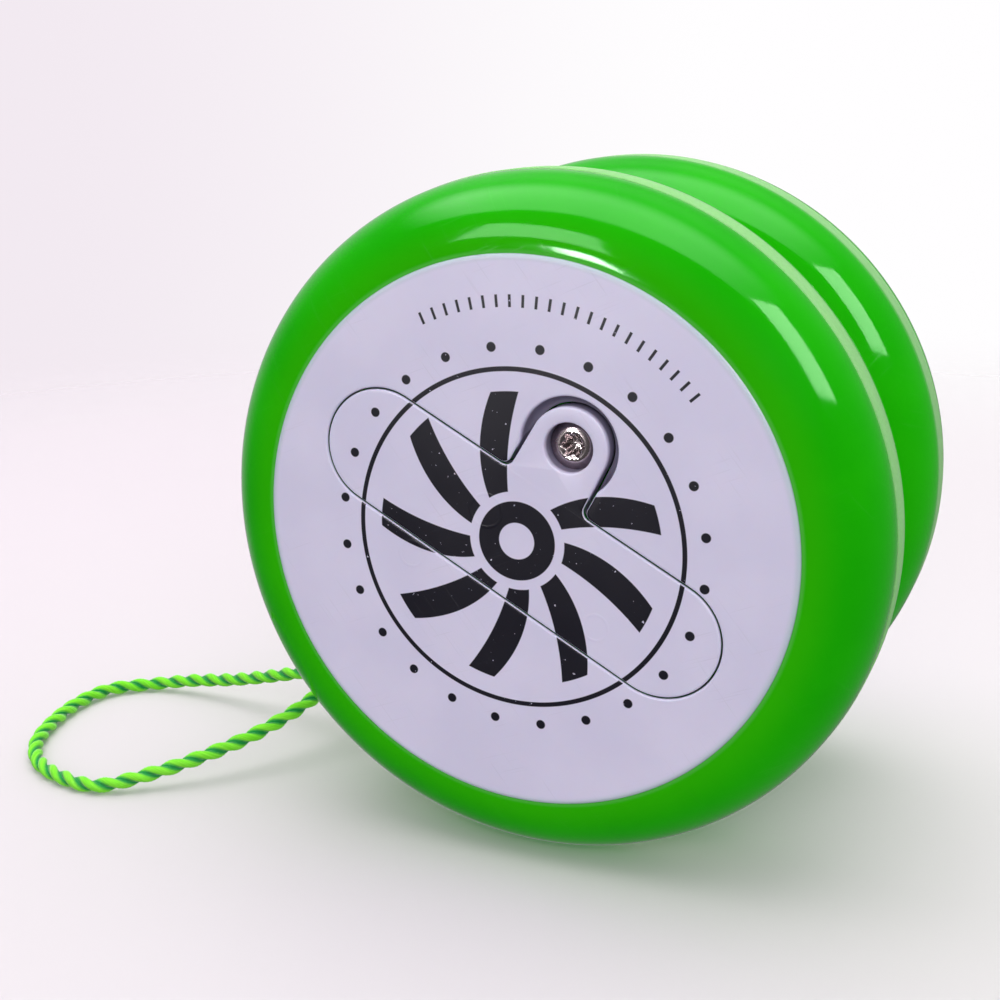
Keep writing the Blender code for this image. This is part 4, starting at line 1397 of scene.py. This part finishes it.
def add_world():
    """A pale backdrop to the camera, and a room for light and reflections."""
    world = bpy.data.worlds.new("studio")
    bpy.context.scene.world = world
    world.use_nodes = True
    tree = world.node_tree
    tree.nodes.clear()
    coordinates = tree.nodes.new("ShaderNodeTexCoord")
    split = tree.nodes.new("ShaderNodeSeparateXYZ")
    tree.links.new(coordinates.outputs["Generated"], split.inputs[0])
    x, y, z = (Wire(tree, socket) for socket in split.outputs)
    path = tree.nodes.new("ShaderNodeLightPath")
    glow = room_light(x, y, z, Wire(tree, path.outputs["Is Glossy Ray"]))
    room = tree.nodes.new("ShaderNodeBackground")
    room.inputs["Color"].default_value = (1.0, 0.97, 1.0, 1.0)
    tree.links.new(glow.socket, room.inputs["Strength"])
    backdrop = tree.nodes.new("ShaderNodeBackground")
    blend = tree.nodes.new("ShaderNodeMix")
    blend.data_type = "RGBA"
    sockets = [socket for socket in blend.inputs if socket.type == "RGBA"]
    sockets[0].default_value = (0.89, 0.82, 0.88, 1.0)
    sockets[1].default_value = (1.0, 0.99, 1.0, 1.0)
    tree.links.new(x.step(-0.68, -0.25).socket, blend.inputs[0])
    colour = next(socket for socket in blend.outputs if socket.type == "RGBA")
    tree.links.new(colour, backdrop.inputs["Color"])
    mix = tree.nodes.new("ShaderNodeMixShader")
    tree.links.new(path.outputs["Is Camera Ray"], mix.inputs[0])
    tree.links.new(room.outputs[0], mix.inputs[1])
    tree.links.new(backdrop.outputs[0], mix.inputs[2])
    output = tree.nodes.new("ShaderNodeOutputWorld")
    tree.links.new(mix.outputs[0], output.inputs[0])


def add_floor():
    """A pale table top that fades into the backdrop, seen only by the camera."""
    floor = turned("floor", [(0.0, 0.0), (FLOOR_RADIUS, 0.0)], ROUND, closed=False)
    finish = Finish("floor", Specular_IOR_Level=0.2)
    far = finish.radius().step(FLOOR_FADES_FROM, FLOOR_RADIUS - 5.0)
    clouds = finish.noise(60.0, 2.0)
    rightwards = finish.x.step(-130.0, 60.0) * 0.9 + clouds * 0.1
    colour = finish.mix(rightwards, (0.685, 0.635, 0.675), (0.70, 0.68, 0.69))
    finish.paint(colour, 0.6 + clouds * 0.1, clouds, 0.01)
    finish.tree.links.new((1.0 - far).socket, finish.shader.inputs["Alpha"])
    floor.data.materials.append(finish.material)
    floor.location = (0.0, 0.0, -MM * GROUND)
    floor.visible_glossy = False
    floor.visible_diffuse = False
    bpy.context.scene.collection.objects.link(floor)


bpy.context.scene.view_settings.view_transform = "Standard"
add_camera()
add_lights()
add_world()
add_floor()
build_string()
for side in ("front", "rear"):
    build_half(side)
middle = half_frame("front")
races(middle)
cage_and_balls(middle)
axle(middle)
